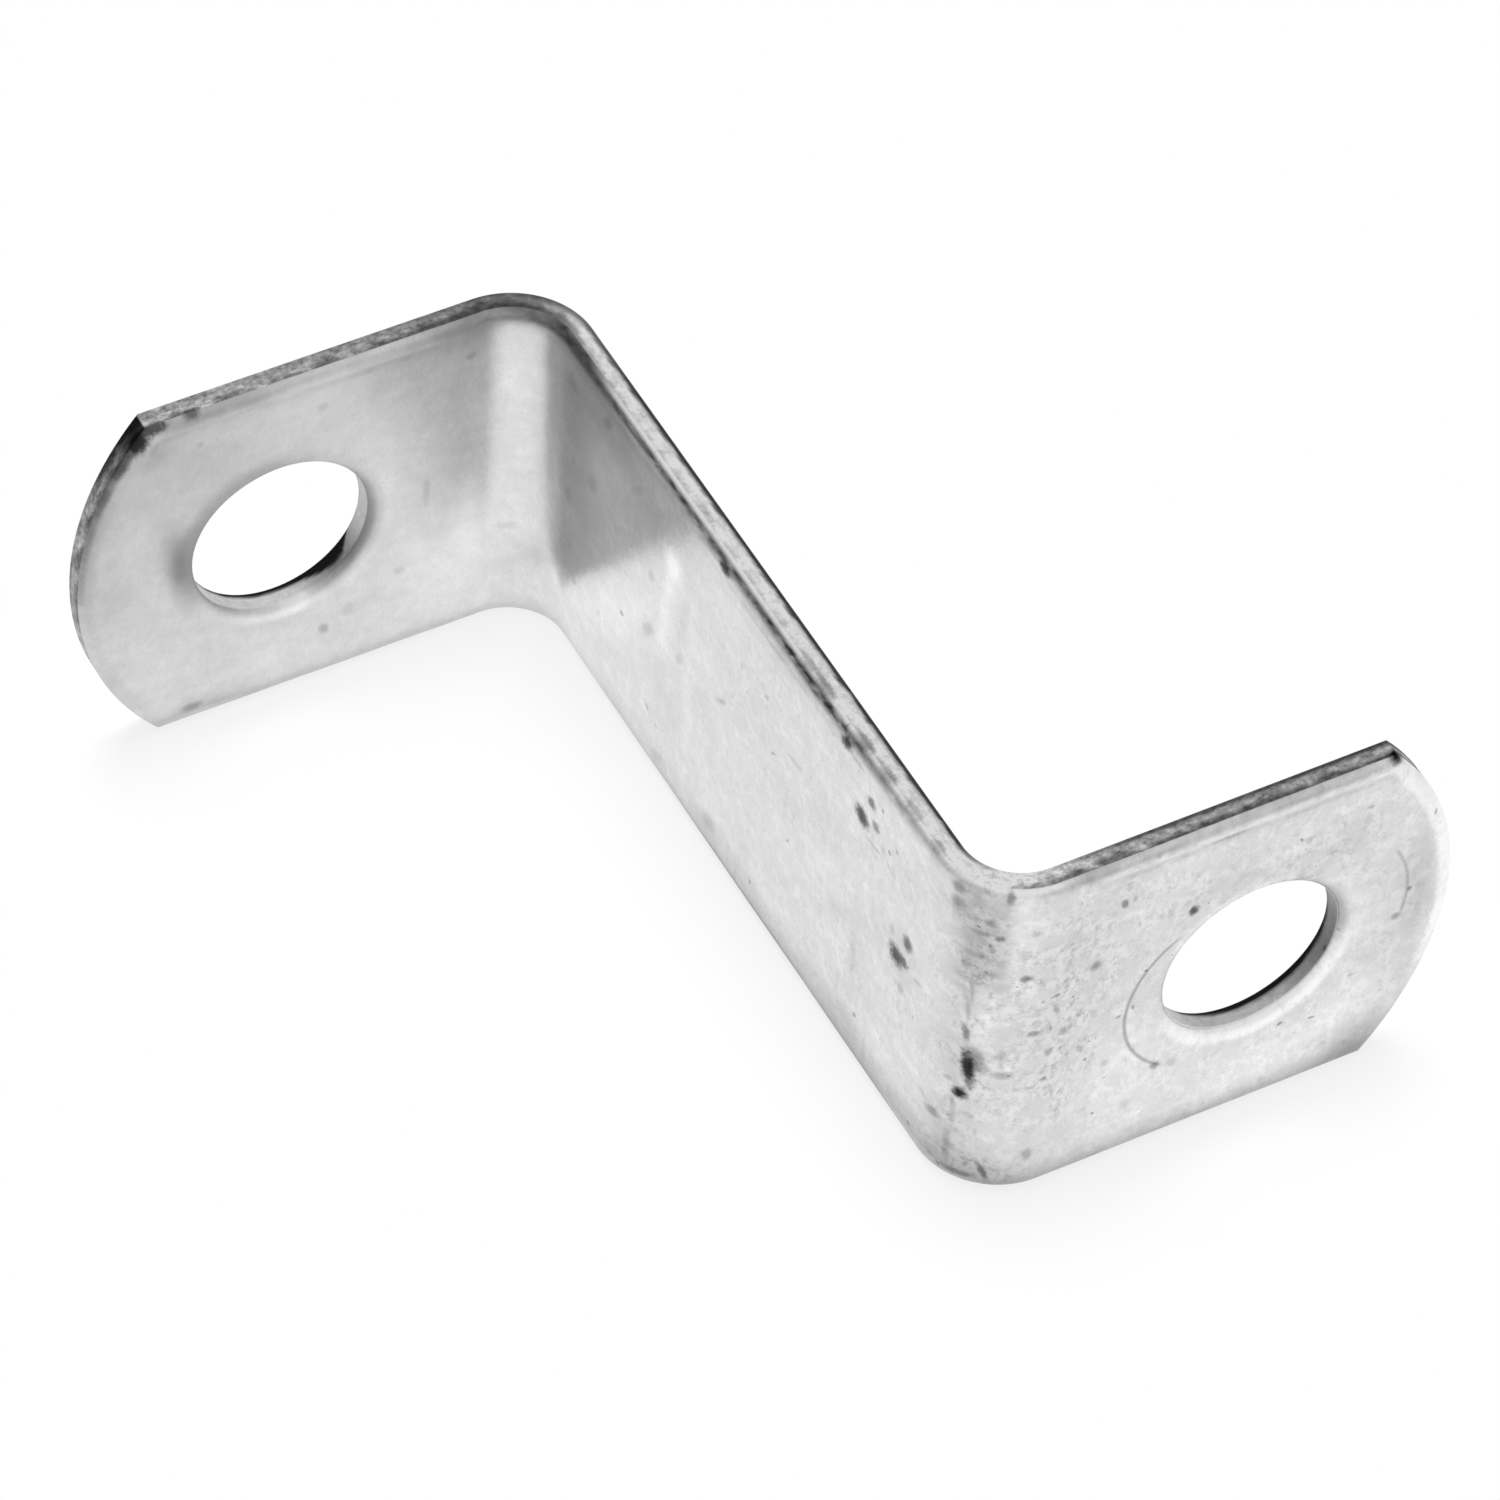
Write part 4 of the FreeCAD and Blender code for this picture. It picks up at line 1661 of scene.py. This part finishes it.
@dataclass
class BracketMesh:
    """Builds the one piece: patches joined, worn, bent and handed to Blender."""

    sizes: StripSizes = field(default_factory=StripSizes)
    wear: HandlingWear = field(default_factory=HandlingWear)
    patina: Patina = field(default_factory=Patina)
    speckling: Speckling = field(default_factory=Speckling)
    snaps: float = 1e4

    def gather(self, patches: list[Patch]) -> tuple[np.ndarray, np.ndarray, np.ndarray]:
        """String all the patches' points, cells and sheet places together.

        Args:
            patches: The blank's patches.

        Returns:
            The points with what is known of each, the cells, and the sheet's places.
        """
        points, cells, sheet, total = [], [], [], 0
        for patch in patches:
            shape = patch.along.shape
            columns = (
                patch.along, patch.across, patch.up, patch.edge, patch.wall,
                np.full(shape, patch.skin.value), patch.out_along, patch.out_across,
            )
            points.append(np.stack([np.broadcast_to(c, shape).ravel() for c in columns], axis=1))
            cells.append(patch.quads() + total)
            sheet.append(patch.sheet())
            total += patch.along.size
        return np.vstack(points), np.vstack(cells), np.vstack(sheet)

    def join(self, points: np.ndarray) -> tuple[np.ndarray, np.ndarray]:
        """Find the points that lie in one place, to the nearest of the snaps to a millimetre.

        Args:
            points: All patches' points, with place in the first three columns.

        Returns:
            The number of the first of each group, and each point's group.
        """
        snapped = np.round(points[:, :3] * self.snaps).astype(np.int64)
        _, first, group = np.unique(snapped, axis=0, return_index=True, return_inverse=True)
        return first, group.ravel()

    def worn(self, points: np.ndarray) -> np.ndarray:
        """Sink the front by ripples and dents, and tear the walls a little.

        A point sinks by its share of the way from the back to the front. A
        wall's point moves inwards, most at the back of the wall, where the
        metal tore instead of being cut.

        Args:
            points: The joined points.

        Returns:
            Their along, across and up, three columns.
        """
        size = self.sizes
        along, across, up = points[:, Column.ALONG], points[:, Column.ACROSS], points[:, Column.UP]
        share = np.clip((up + size.half_thickness) / size.thickness, 0.0, 1.0)
        sunk = up - share * self.wear.sink(along, across)
        depth = points[:, Column.WALL]
        on_wall = (points[:, Column.SKIN] == Skin.WALL.value) & (depth > 0.0) & (depth < 1.0)
        torn = on_wall * self.wear.tear * self.wear.rough(along, across, up)
        torn = torn * np.sqrt(np.clip(depth, 0.0, 1.0))
        in_along = along - torn * points[:, Column.OUT_ALONG]
        in_across = across - torn * points[:, Column.OUT_ACROSS]
        return np.stack([in_along, in_across, sunk], axis=1)

    def surface(self, place: np.ndarray, quads: np.ndarray) -> bpy.types.Mesh:
        """Hand the points and cells to a new smooth mesh.

        Args:
            place: The points in metres.
            quads: The cells, four point numbers each.

        Returns:
            The mesh, without its attributes.
        """
        mesh = bpy.data.meshes.new("z_bracket_strip")
        mesh.vertices.add(len(place))
        mesh.vertices.foreach_set("co", place.astype(np.float32).ravel())
        mesh.loops.add(quads.size)
        mesh.loops.foreach_set("vertex_index", quads.astype(np.int32).ravel())
        mesh.polygons.add(len(quads))
        mesh.polygons.foreach_set("loop_start", np.arange(0, quads.size, 4, dtype=np.int32))
        mesh.polygons.foreach_set("loop_total", np.full(len(quads), 4, dtype=np.int32))
        mesh.update(calc_edges=True)
        mesh.polygons.foreach_set("use_smooth", np.ones(len(quads), dtype=bool))
        return mesh

    def build(self) -> bpy.types.Object:
        """Make the mesh object, with its sheet map and what the material reads.

        Returns:
            The bracket, smooth shaded and at the origin.
        """
        blank = Blank(self.sizes)
        points, cells, sheet = self.gather(blank.patches())
        first, group = self.join(points)
        kept = points[first]
        flat = self.worn(kept)
        place = Bender(self.sizes).place(flat[:, 0], flat[:, 1], flat[:, 2]) * MM
        mesh = self.surface(place, group[cells])
        unrolled = sheet[cells.ravel()].astype(np.float32)
        mesh.uv_layers.new(name="strip").data.foreach_set("uv", unrolled.ravel())
        painted = {
            "tone": self.patina.paint(kept),
            "worn": self.patina.wear(kept),
            "dull": self.patina.dullness(kept),
            "cut": self.patina.tear(kept),
        }
        for name, values in painted.items():
            layer = mesh.attributes.new(name, "FLOAT", "POINT")
            layer.data.foreach_set("value", values.astype(np.float32))
        arcs = mesh.attributes.new("scratch", "FLOAT_VECTOR", "POINT")
        arcs.data.foreach_set("vector", self.patina.scratched(kept).astype(np.float32).ravel())
        flat_places = sheet[cells] * SHEET_SPAN - np.array([SHEET_SHIFT, SHEET_RISE])
        marks = self.speckling.corners(flat_places, self.patina)
        for name, values in zip(("first_mark", "second_mark"), marks):
            layer = mesh.attributes.new(name, "FLOAT_VECTOR", "CORNER")
            layer.data.foreach_set("vector", values.astype(np.float32).ravel())
        mesh.validate()
        piece = bpy.data.objects.new("zinc_coated_strip", mesh)
        bpy.context.scene.collection.objects.link(piece)
        LOG.info("zinc_coated_strip: %d points, %d cells", len(place), len(cells))
        return piece


class Graph:
    """A material's or world's node tree, written as short sums."""

    def __init__(self, tree: bpy.types.NodeTree) -> None:
        """Empty a tree and keep it."""
        self.tree = tree
        tree.nodes.clear()

    def node(self, kind: str, **settings: object) -> bpy.types.Node:
        """Add a node and set its options.

        Args:
            kind: The node's type, without the ShaderNode in front.
            settings: Option names and values.

        Returns:
            The new node.
        """
        made = self.tree.nodes.new("ShaderNode" + kind)
        for name, value in settings.items():
            setattr(made, name, value)
        return made

    def feed(self, socket: Socket, value: object) -> None:
        """Link a socket into another, or set it to a plain value.

        Args:
            socket: The input.
            value: The output to link, or the value.
        """
        if isinstance(value, bpy.types.NodeSocket):
            self.tree.links.new(value, socket)
        else:
            socket.default_value = value

    def sum(self, operation: str, *terms: Term, clamp: bool = False) -> Socket:
        """Work out one arithmetic step.

        Args:
            operation: Blender's name for it, such as MULTIPLY.
            terms: What it works on.
            clamp: Whether to keep the result between 0 and 1.

        Returns:
            The result.
        """
        made = self.node("Math", operation=operation, use_clamp=clamp)
        for socket, term in zip(made.inputs, terms):
            self.feed(socket, term)
        return made.outputs[0]

    def ease(self, value: Term, low: float, high: float, start: Term = 0.0, stop: Term = 1.0) -> Socket:
        """Pass smoothly from start to stop as a value goes from low to high.

        Args:
            value: What decides.
            low: Where the result leaves start.
            high: Where it reaches stop, above or below low.
            start: The result at low and past it.
            stop: The result at high and past it.

        Returns:
            The result.
        """
        made = self.node("MapRange", interpolation_type="SMOOTHSTEP")
        for socket, term in zip(made.inputs, (value, low, high, start, stop)):
            self.feed(socket, term)
        return made.outputs[0]

    def vector(self, operation: str, *terms: Socket | tuple[float, ...]) -> Socket:
        """Work out one step on three numbers at once, as sum does on one.

        Args:
            operation: Blender's name for it, such as MULTIPLY_ADD.
            terms: What it works on.

        Returns:
            The vector, or the one value of a length or a product of two vectors.
        """
        made = self.node("VectorMath", operation=operation)
        for socket, term in zip(made.inputs, terms):
            self.feed(socket, term)
        return made.outputs["Value" if operation in ("LENGTH", "DOT_PRODUCT") else "Vector"]

    def parts(self, value: Socket) -> bpy.types.NodeOutputs:
        """Split a vector into its X, Y and Z."""
        made = self.node("SeparateXYZ")
        self.feed(made.inputs[0], value)
        return made.outputs

    def noise(self, where: Socket, scale: float, detail: float, rough: float) -> bpy.types.NodeOutputs:
        """Read flat clouds between 0 and 1.

        Args:
            where: Coordinates.
            scale: How many clouds to a unit of them.
            detail: How many finer layers.
            rough: How strong the finer layers are.

        Returns:
            A cloudy value as Fac and three as Color, 0.5 on average.
        """
        made = self.node("TexNoise", noise_dimensions="2D")
        settings = {"Vector": where, "Scale": scale, "Detail": detail, "Roughness": rough}
        for name, value in settings.items():
            self.feed(made.inputs[name], value)
        return made.outputs

    def swing(self, value: Socket, size: float) -> Socket:
        """Turn a value about 0.5 into one about 0, of a given size from 0 to 1."""
        return self.sum("MULTIPLY", self.sum("SUBTRACT", value, 0.5), size)

    def attribute(self, name: str) -> Socket:
        """Read one of the mesh's own numbers."""
        return self.node("Attribute", attribute_name=name).outputs["Fac"]


@dataclass(frozen=True)
class Mottling:
    """One layer of fine clouds, and how strong it is on whole and on fully worn zinc."""

    scale: float
    detail: float
    rough: float
    whole: float = 0.0
    worn: float = 0.0

    def read(self, graph: Graph, where: Socket) -> Socket:
        """Read the layer's clouds, between 0 and 1."""
        return graph.noise(where, self.scale, self.detail, self.rough)["Fac"]

    def shift(self, graph: Graph, clouds: Socket, worn: Socket) -> Socket:
        """Say how much the layer shifts the tone."""
        strength = graph.sum("MULTIPLY_ADD", worn, self.worn - self.whole, self.whole)
        return graph.sum("MULTIPLY", graph.swing(clouds, 1.0), strength)


@dataclass(frozen=True)
class ZincCoatedSteel:
    """Zinc on rolled steel: clouded and specked on the skins, torn dark at the cuts.

    The mesh brings the tone, gloss and wear of each place. The material adds
    what is finer: specks, grain and torn metal. Spots are about 0.7 mm apart,
    blots 1.2 mm, grain 0.25 mm and torn metal 0.4 mm.
    """

    narrowed: tuple[float, float, float] = (1.35, 1.0, 1.0)
    spots: Mottling = Mottling(1.5, 2.0, 0.6, 0.10, 1.35)
    grain: Mottling = Mottling(4.0, 1.0, 0.6, 0.12, 0.57)
    blots: Mottling = Mottling(0.85, 1.0, 0.5, 0.09, 0.64)
    torn: Mottling = Mottling(2.3, 2.0, 0.65)
    torn_strength: float = 1.7
    least: float = 0.2
    most: float = 1.10
    raggedness: float = 0.6
    rag_noise: tuple[float, float, float] = (3.5, 1.0, 0.5)
    mark_border: tuple[float, float] = (1.35, 0.35)
    line_border: tuple[float, float] = (1.5, 0.2)
    line_end: tuple[float, float] = (1.0, 0.8)
    spots_gloss: float = 0.08
    torn_gloss: float = 0.14
    torn_height: float = 3.0
    bump: float = 0.25
    grain_depth: float = 0.00002

    def sheet(self, graph: Graph) -> Socket:
        """Read the place on the flat strip, in millimetres."""
        place = graph.node("UVMap", uv_map="strip").outputs[0]
        whole, shift = (SHEET_SPAN, SHEET_SPAN, 0.0), (-SHEET_SHIFT, -SHEET_RISE, 0.0)
        return graph.vector("MULTIPLY_ADD", place, whole, shift)

    def shake(self, graph: Graph, sheet: Socket) -> Socket:
        """Make a small random shift, so that outlines come out ragged."""
        full, half = self.raggedness, self.raggedness / 2
        clouds = graph.noise(sheet, *self.rag_noise)["Color"]
        return graph.vector("MULTIPLY_ADD", clouds, (full, full, 0.0), (-half, -half, 0.0))

    def mark(self, graph: Graph, name: str, shake: Socket) -> Socket:
        """Draw one of the two marks that a cell carries: an oval, dark in the middle.

        Args:
            graph: The material's tree.
            name: The mesh's numbers for the mark.
            shake: The random shift.

        Returns:
            The share of light that is left.
        """
        carried = graph.node("Attribute", attribute_name=name).outputs["Vector"]
        moved = graph.vector("MULTIPLY_ADD", carried, (1.0, 1.0, 0.0), shake)
        reach = graph.vector("LENGTH", moved)
        taken = graph.ease(reach, *self.mark_border, 0.0, graph.parts(carried)["Z"])
        return graph.sum("SUBTRACT", 1.0, taken)

    def scratch(self, graph: Graph) -> Socket:
        """Draw the curved scratches as thin lines that fade at their ends.

        Args:
            graph: The material's tree.

        Returns:
            The share of light that is left.
        """
        carried = graph.node("Attribute", attribute_name="scratch").outputs["Vector"]
        off, turn, tone = (graph.parts(carried)[name] for name in "XYZ")
        line = graph.ease(graph.sum("ABSOLUTE", off), *self.line_border, 0.0, tone)
        taken = graph.sum("MULTIPLY", line, graph.ease(turn, *self.line_end))
        return graph.sum("SUBTRACT", 1.0, taken)

    def mottled(self, graph: Graph, where: Socket, spots: Socket, torn: Socket) -> Socket:
        """Add the fine clouds up to a factor on the tone, strongest where worn or torn.

        Args:
            graph: The material's tree.
            where: Millimetres on the flat strip, narrowed along it.
            spots: The clouds of the spots.
            torn: The clouds of torn metal.

        Returns:
            The factor, 1 on average.
        """
        worn, cut = graph.attribute("worn"), graph.attribute("cut")
        fine = self.spots.shift(graph, spots, worn)
        for layer in (self.grain, self.blots):
            fine = graph.sum("ADD", fine, layer.shift(graph, layer.read(graph, where), worn))
        torn_shift = graph.sum("MULTIPLY", graph.swing(torn, self.torn_strength), cut)
        fine = graph.sum("ADD", fine, torn_shift)
        factor = graph.sum("MAXIMUM", graph.sum("ADD", fine, 1.0), self.least)
        return graph.sum("MINIMUM", factor, graph.sum("ADD", cut, self.most))

    def level(self, graph: Graph, sheet: Socket, mottled: Socket) -> Socket:
        """Work out the tone: the mesh's own, mottled, and darkened by every mark.

        Args:
            graph: The material's tree.
            sheet: Millimetres on the flat strip.
            mottled: The factor of the fine clouds.

        Returns:
            The share of light that the metal sends back.
        """
        shade = graph.sum("MULTIPLY", mottled, graph.attribute("tone"))
        shake = self.shake(graph, sheet)
        for name in ("first_mark", "second_mark"):
            shade = graph.sum("MULTIPLY", shade, self.mark(graph, name, shake))
        shade = graph.sum("MULTIPLY", shade, self.scratch(graph))
        return graph.sum("MINIMUM", shade, BRIGHTEST)

    def make(self) -> bpy.types.Material:
        """Build the material.

        Returns:
            A metal whose tone, gloss and grain follow the mesh and fine noise.
        """
        made = bpy.data.materials.new("zinc_coated_steel_worn")
        made.use_nodes = True
        graph = Graph(made.node_tree)
        sheet = self.sheet(graph)
        where = graph.vector("MULTIPLY", sheet, self.narrowed)
        spots, torn = self.spots.read(graph, where), self.torn.read(graph, sheet)
        level = self.level(graph, sheet, self.mottled(graph, where, spots, torn))
        colour = graph.node("CombineColor")
        for socket in list(colour.inputs)[:3]:
            graph.feed(socket, level)

        cut = graph.attribute("cut")
        gloss = graph.sum("ADD", graph.attribute("dull"), graph.swing(spots, self.spots_gloss))
        gloss = graph.sum("ADD", gloss, graph.sum("MULTIPLY", cut, self.torn_gloss))
        bump = graph.node("Bump")
        torn_cut = graph.sum("MULTIPLY", torn, cut)
        height = graph.sum("MULTIPLY_ADD", torn_cut, self.torn_height, spots)
        for name, value in (("Strength", self.bump), ("Distance", self.grain_depth), ("Height", height)):
            graph.feed(bump.inputs[name], value)

        shader = graph.node("BsdfPrincipled")
        settings = {
            "Metallic": 1.0,
            "Base Color": colour.outputs[0],
            "Roughness": gloss,
            "Normal": bump.outputs[0],
        }
        for name, value in settings.items():
            graph.feed(shader.inputs[name], value)
        graph.feed(graph.node("OutputMaterial").inputs["Surface"], shader.outputs[0])
        return made


@dataclass(frozen=True)
class Softbox:
    """A square lamp: where it stands, how large it is and how strong, in metres and watts."""

    name: str
    place: tuple[float, float, float]
    size: float
    power: float


@dataclass
class Studio:
    """White floor, white surroundings, soft lamps and the camera of the photograph."""

    floor_half: float = 3.0
    floor_level: float = -0.0001
    sky: float = 0.62
    sky_in_front: float = 0.95
    sky_behind: float = 0.90
    dark_side: tuple[float, float, float] = (-0.784, 0.588, 0.196)
    dark_level: float = 0.62
    dark_edge: tuple[float, float] = (0.70, 0.95)
    behind_edge: tuple[float, float] = (-0.3, 0.3)
    glow: float = 0.80
    second_image: float = 0.55
    shadow_reach: tuple[float, float] = (0.0005, 0.014)
    paper_edge: tuple[float, float] = (0.07, 0.20)
    beyond_paper: float = 0.40
    paper_paint: float = 0.9
    coarse_lines: tuple[float, float] = (0.5, 0.1)
    fine_half: float = 0.048
    fine_lines: int = 97
    lamps: tuple[Softbox, ...] = (Softbox("top_softbox", (0.10, 0.20, 1.00), 0.6, 11.0),)
    eye: tuple[float, float, float] = (-151.89395, -264.77087, 348.98442)
    to_right: tuple[float, float, float] = (0.88409588, -0.4662091, 0.03199299)
    to_top: tuple[float, float, float] = (0.32716423, 0.66639499, 0.66998603)
    lens: float = 189.57826
    sensor: float = 36.0
    clip: tuple[float, float] = (0.01, 20.0)
    aim: tuple[float, float, float] = (0.0, 0.0, 0.0127)

    def mirrored(self, graph: Graph) -> Socket:
        """Tell whether a ray was sent on by a mirror-like or clear surface."""
        path = graph.node("LightPath").outputs
        return graph.sum("ADD", path["Is Glossy Ray"], path["Is Transmission Ray"], clamp=True)

    def away(self, along: np.ndarray, forth: np.ndarray) -> np.ndarray:
        """Measure how far points of the floor are from the bracket's three straight lengths.

        The distance to a length is the root of the squares of how far past its
        ends a point is and how far beside it.

        Args:
            along: Distances to the right, in metres.
            forth: Distances to the back.

        Returns:
            The least of the three distances, in metres.
        """
        size = StripSizes()
        line = (size.offset - size.thickness) / 2 * MM
        flange = (size.flange_length - size.half_thickness) * MM
        lengths = (
            np.hypot(np.maximum(np.abs(along + flange / 2) - flange / 2, 0.0), forth - line),
            np.hypot(np.maximum(np.abs(along - flange / 2) - flange / 2, 0.0), forth + line),
            np.hypot(along, np.maximum(np.abs(forth) - line, 0.0)),
        )
        return np.minimum.reduce(lengths)

    def white_share(self, graph: Graph, near: Socket) -> Socket:
        """Show plain white to mirror-like rays, and white with a near shadow to the camera.

        Args:
            graph: The floor's tree.
            near: Distance from the bracket's foot.

        Returns:
            How much of the floor is white light instead of lit paint.
        """
        white = graph.ease(near, *self.shadow_reach, self.glow, 1.0)
        seen = graph.sum("MULTIPLY", graph.node("LightPath").outputs["Is Camera Ray"], white)
        return graph.sum("MAXIMUM", self.mirrored(graph), seen)

    def white_strength(self, graph: Graph, away: Socket) -> Socket:
        """Dim the white in mirror images: far out, and in an image of an image.

        Args:
            graph: The floor's tree.
            away: Distance from the middle of the bracket.

        Returns:
            The strength of the white light.
        """
        depth = graph.node("LightPath").outputs["Ray Depth"]
        far = graph.ease(away, *self.paper_edge, 1.0, self.beyond_paper)
        far = graph.sum("MAXIMUM", far, graph.node("LightPath").outputs["Is Camera Ray"])
        return graph.sum("MULTIPLY", far, graph.ease(depth, 1.0, 2.0, 1.0, self.second_image))

    def paper(self) -> bpy.types.Material:
        """Make the floor's material: pale paint mixed with white light.

        Returns:
            The material, which reads the distance from the bracket's foot.
        """
        made = bpy.data.materials.new("pale_floor")
        made.use_nodes = True
        made.cycles.emission_sampling = "NONE"
        graph = Graph(made.node_tree)
        paint = graph.node("BsdfDiffuse")
        paint.inputs["Color"].default_value = (self.paper_paint, self.paper_paint, self.paper_paint, 1.0)
        away = graph.vector("LENGTH", graph.node("TexCoord").outputs["Object"])
        light = graph.node("Emission")
        graph.feed(light.inputs["Strength"], self.white_strength(graph, away))
        mix = graph.node("MixShader")
        share = self.white_share(graph, graph.attribute("foot"))
        for socket, value in zip(mix.inputs, (share, paint.outputs[0], light.outputs[0])):
            graph.feed(socket, value)
        graph.feed(graph.node("OutputMaterial").inputs["Surface"], mix.outputs[0])
        return made

    def floor(self) -> bpy.types.Object:
        """Lay a wide pale floor that stays white to the eye and keeps a soft shadow.

        Its lines are close round the bracket, where the shadow is.

        Returns:
            The floor, which belongs to the stage.
        """
        outside = -np.array([self.floor_half, *self.coarse_lines])
        close = np.linspace(-self.fine_half, self.fine_half, self.fine_lines)
        lines = np.concatenate([outside, close, -outside[::-1]])
        along, forth = (grid.ravel() for grid in np.meshgrid(lines, lines, indexing="ij"))
        place = np.stack([along, forth, 0 * along + self.floor_level], axis=1)
        mesh = bpy.data.meshes.new("floor")
        mesh.from_pydata(place.tolist(), [], grid_cells(len(lines), len(lines)).tolist())
        foot = mesh.attributes.new("foot", "FLOAT", "POINT")
        foot.data.foreach_set("value", self.away(along, forth).astype(np.float32))
        mesh.materials.append(self.paper())
        made = bpy.data.objects.new("floor", mesh)
        bpy.context.scene.collection.objects.link(made)
        LOG.info("floor: %d points, %.0f m wide", len(place), 2 * self.floor_half)
        return made

    def surroundings(self) -> None:
        """Light the scene from all round: white to the eye, dimmer to the metal.

        Mirror images see the sky in front or behind, darker towards one side.
        """
        world = bpy.data.worlds.new("studio")
        world.use_nodes = True
        world.cycles.sampling_method = "NONE"
        bpy.context.scene.world = world
        graph = Graph(world.node_tree)
        path = graph.node("LightPath").outputs
        direction = graph.node("TexCoord").outputs["Generated"]
        forth = graph.parts(direction)["Y"]
        image = graph.ease(forth, *self.behind_edge, self.sky_in_front, self.sky_behind)
        towards = graph.vector("DOT_PRODUCT", direction, self.dark_side)
        shade = graph.ease(towards, *self.dark_edge, 1.0, self.dark_level)
        image = graph.sum("MULTIPLY", image, shade)
        change = graph.sum("SUBTRACT", image, self.sky)
        change = graph.sum("MULTIPLY", path["Is Glossy Ray"], change)
        strength = graph.sum("MAXIMUM", graph.sum("ADD", change, self.sky), path["Is Camera Ray"])
        back = graph.node("Background")
        graph.feed(back.inputs["Strength"], strength)
        graph.feed(graph.node("OutputWorld").inputs["Surface"], back.outputs[0])
        LOG.info("studio: sky of %.2f", self.sky)

    def light(self) -> None:
        """Hang the soft lamps, each facing the bracket and unseen in its metal."""
        for box in self.lamps:
            data = bpy.data.lights.new(box.name, "AREA")
            data.size = box.size
            data.energy = box.power
            lamp = bpy.data.objects.new(box.name, data)
            lamp.visible_glossy = False
            lamp.location = box.place
            line = Vector(self.aim) - Vector(box.place)
            lamp.rotation_euler = line.to_track_quat("-Z", "Y").to_euler()
            bpy.context.scene.collection.objects.link(lamp)
            LOG.info("%s: %.1f m wide, %.0f W", box.name, box.size, box.power)

    def camera(self) -> None:
        """Stand the camera where the photograph's was."""
        data = bpy.data.cameras.new("camera")
        data.sensor_fit = "HORIZONTAL"
        data.sensor_width = self.sensor
        data.lens = self.lens
        data.clip_start, data.clip_end = self.clip
        made = bpy.data.objects.new("camera", data)
        right, top = Vector(self.to_right), Vector(self.to_top)
        turn = Matrix((right, top, right.cross(top))).transposed().to_4x4()
        made.matrix_world = Matrix.Translation(Vector(self.eye) * MM) @ turn
        bpy.context.scene.collection.objects.link(made)
        bpy.context.scene.camera = made
        LOG.info("camera: %.1f mm lens", self.lens)


def main() -> None:
    """Build the studio and the bracket, and report each piece."""
    logging.basicConfig(level=logging.INFO, format="%(name)s: %(message)s")
    bpy.context.scene.view_settings.view_transform = "Standard"
    studio = Studio()
    studio.camera()
    studio.floor()
    studio.surroundings()
    studio.light()

    piece = BracketMesh().build()
    piece.data.materials.append(ZincCoatedSteel().make())
    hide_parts(NODE)
    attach(piece, "root")


if __name__ == "__main__":
    main()
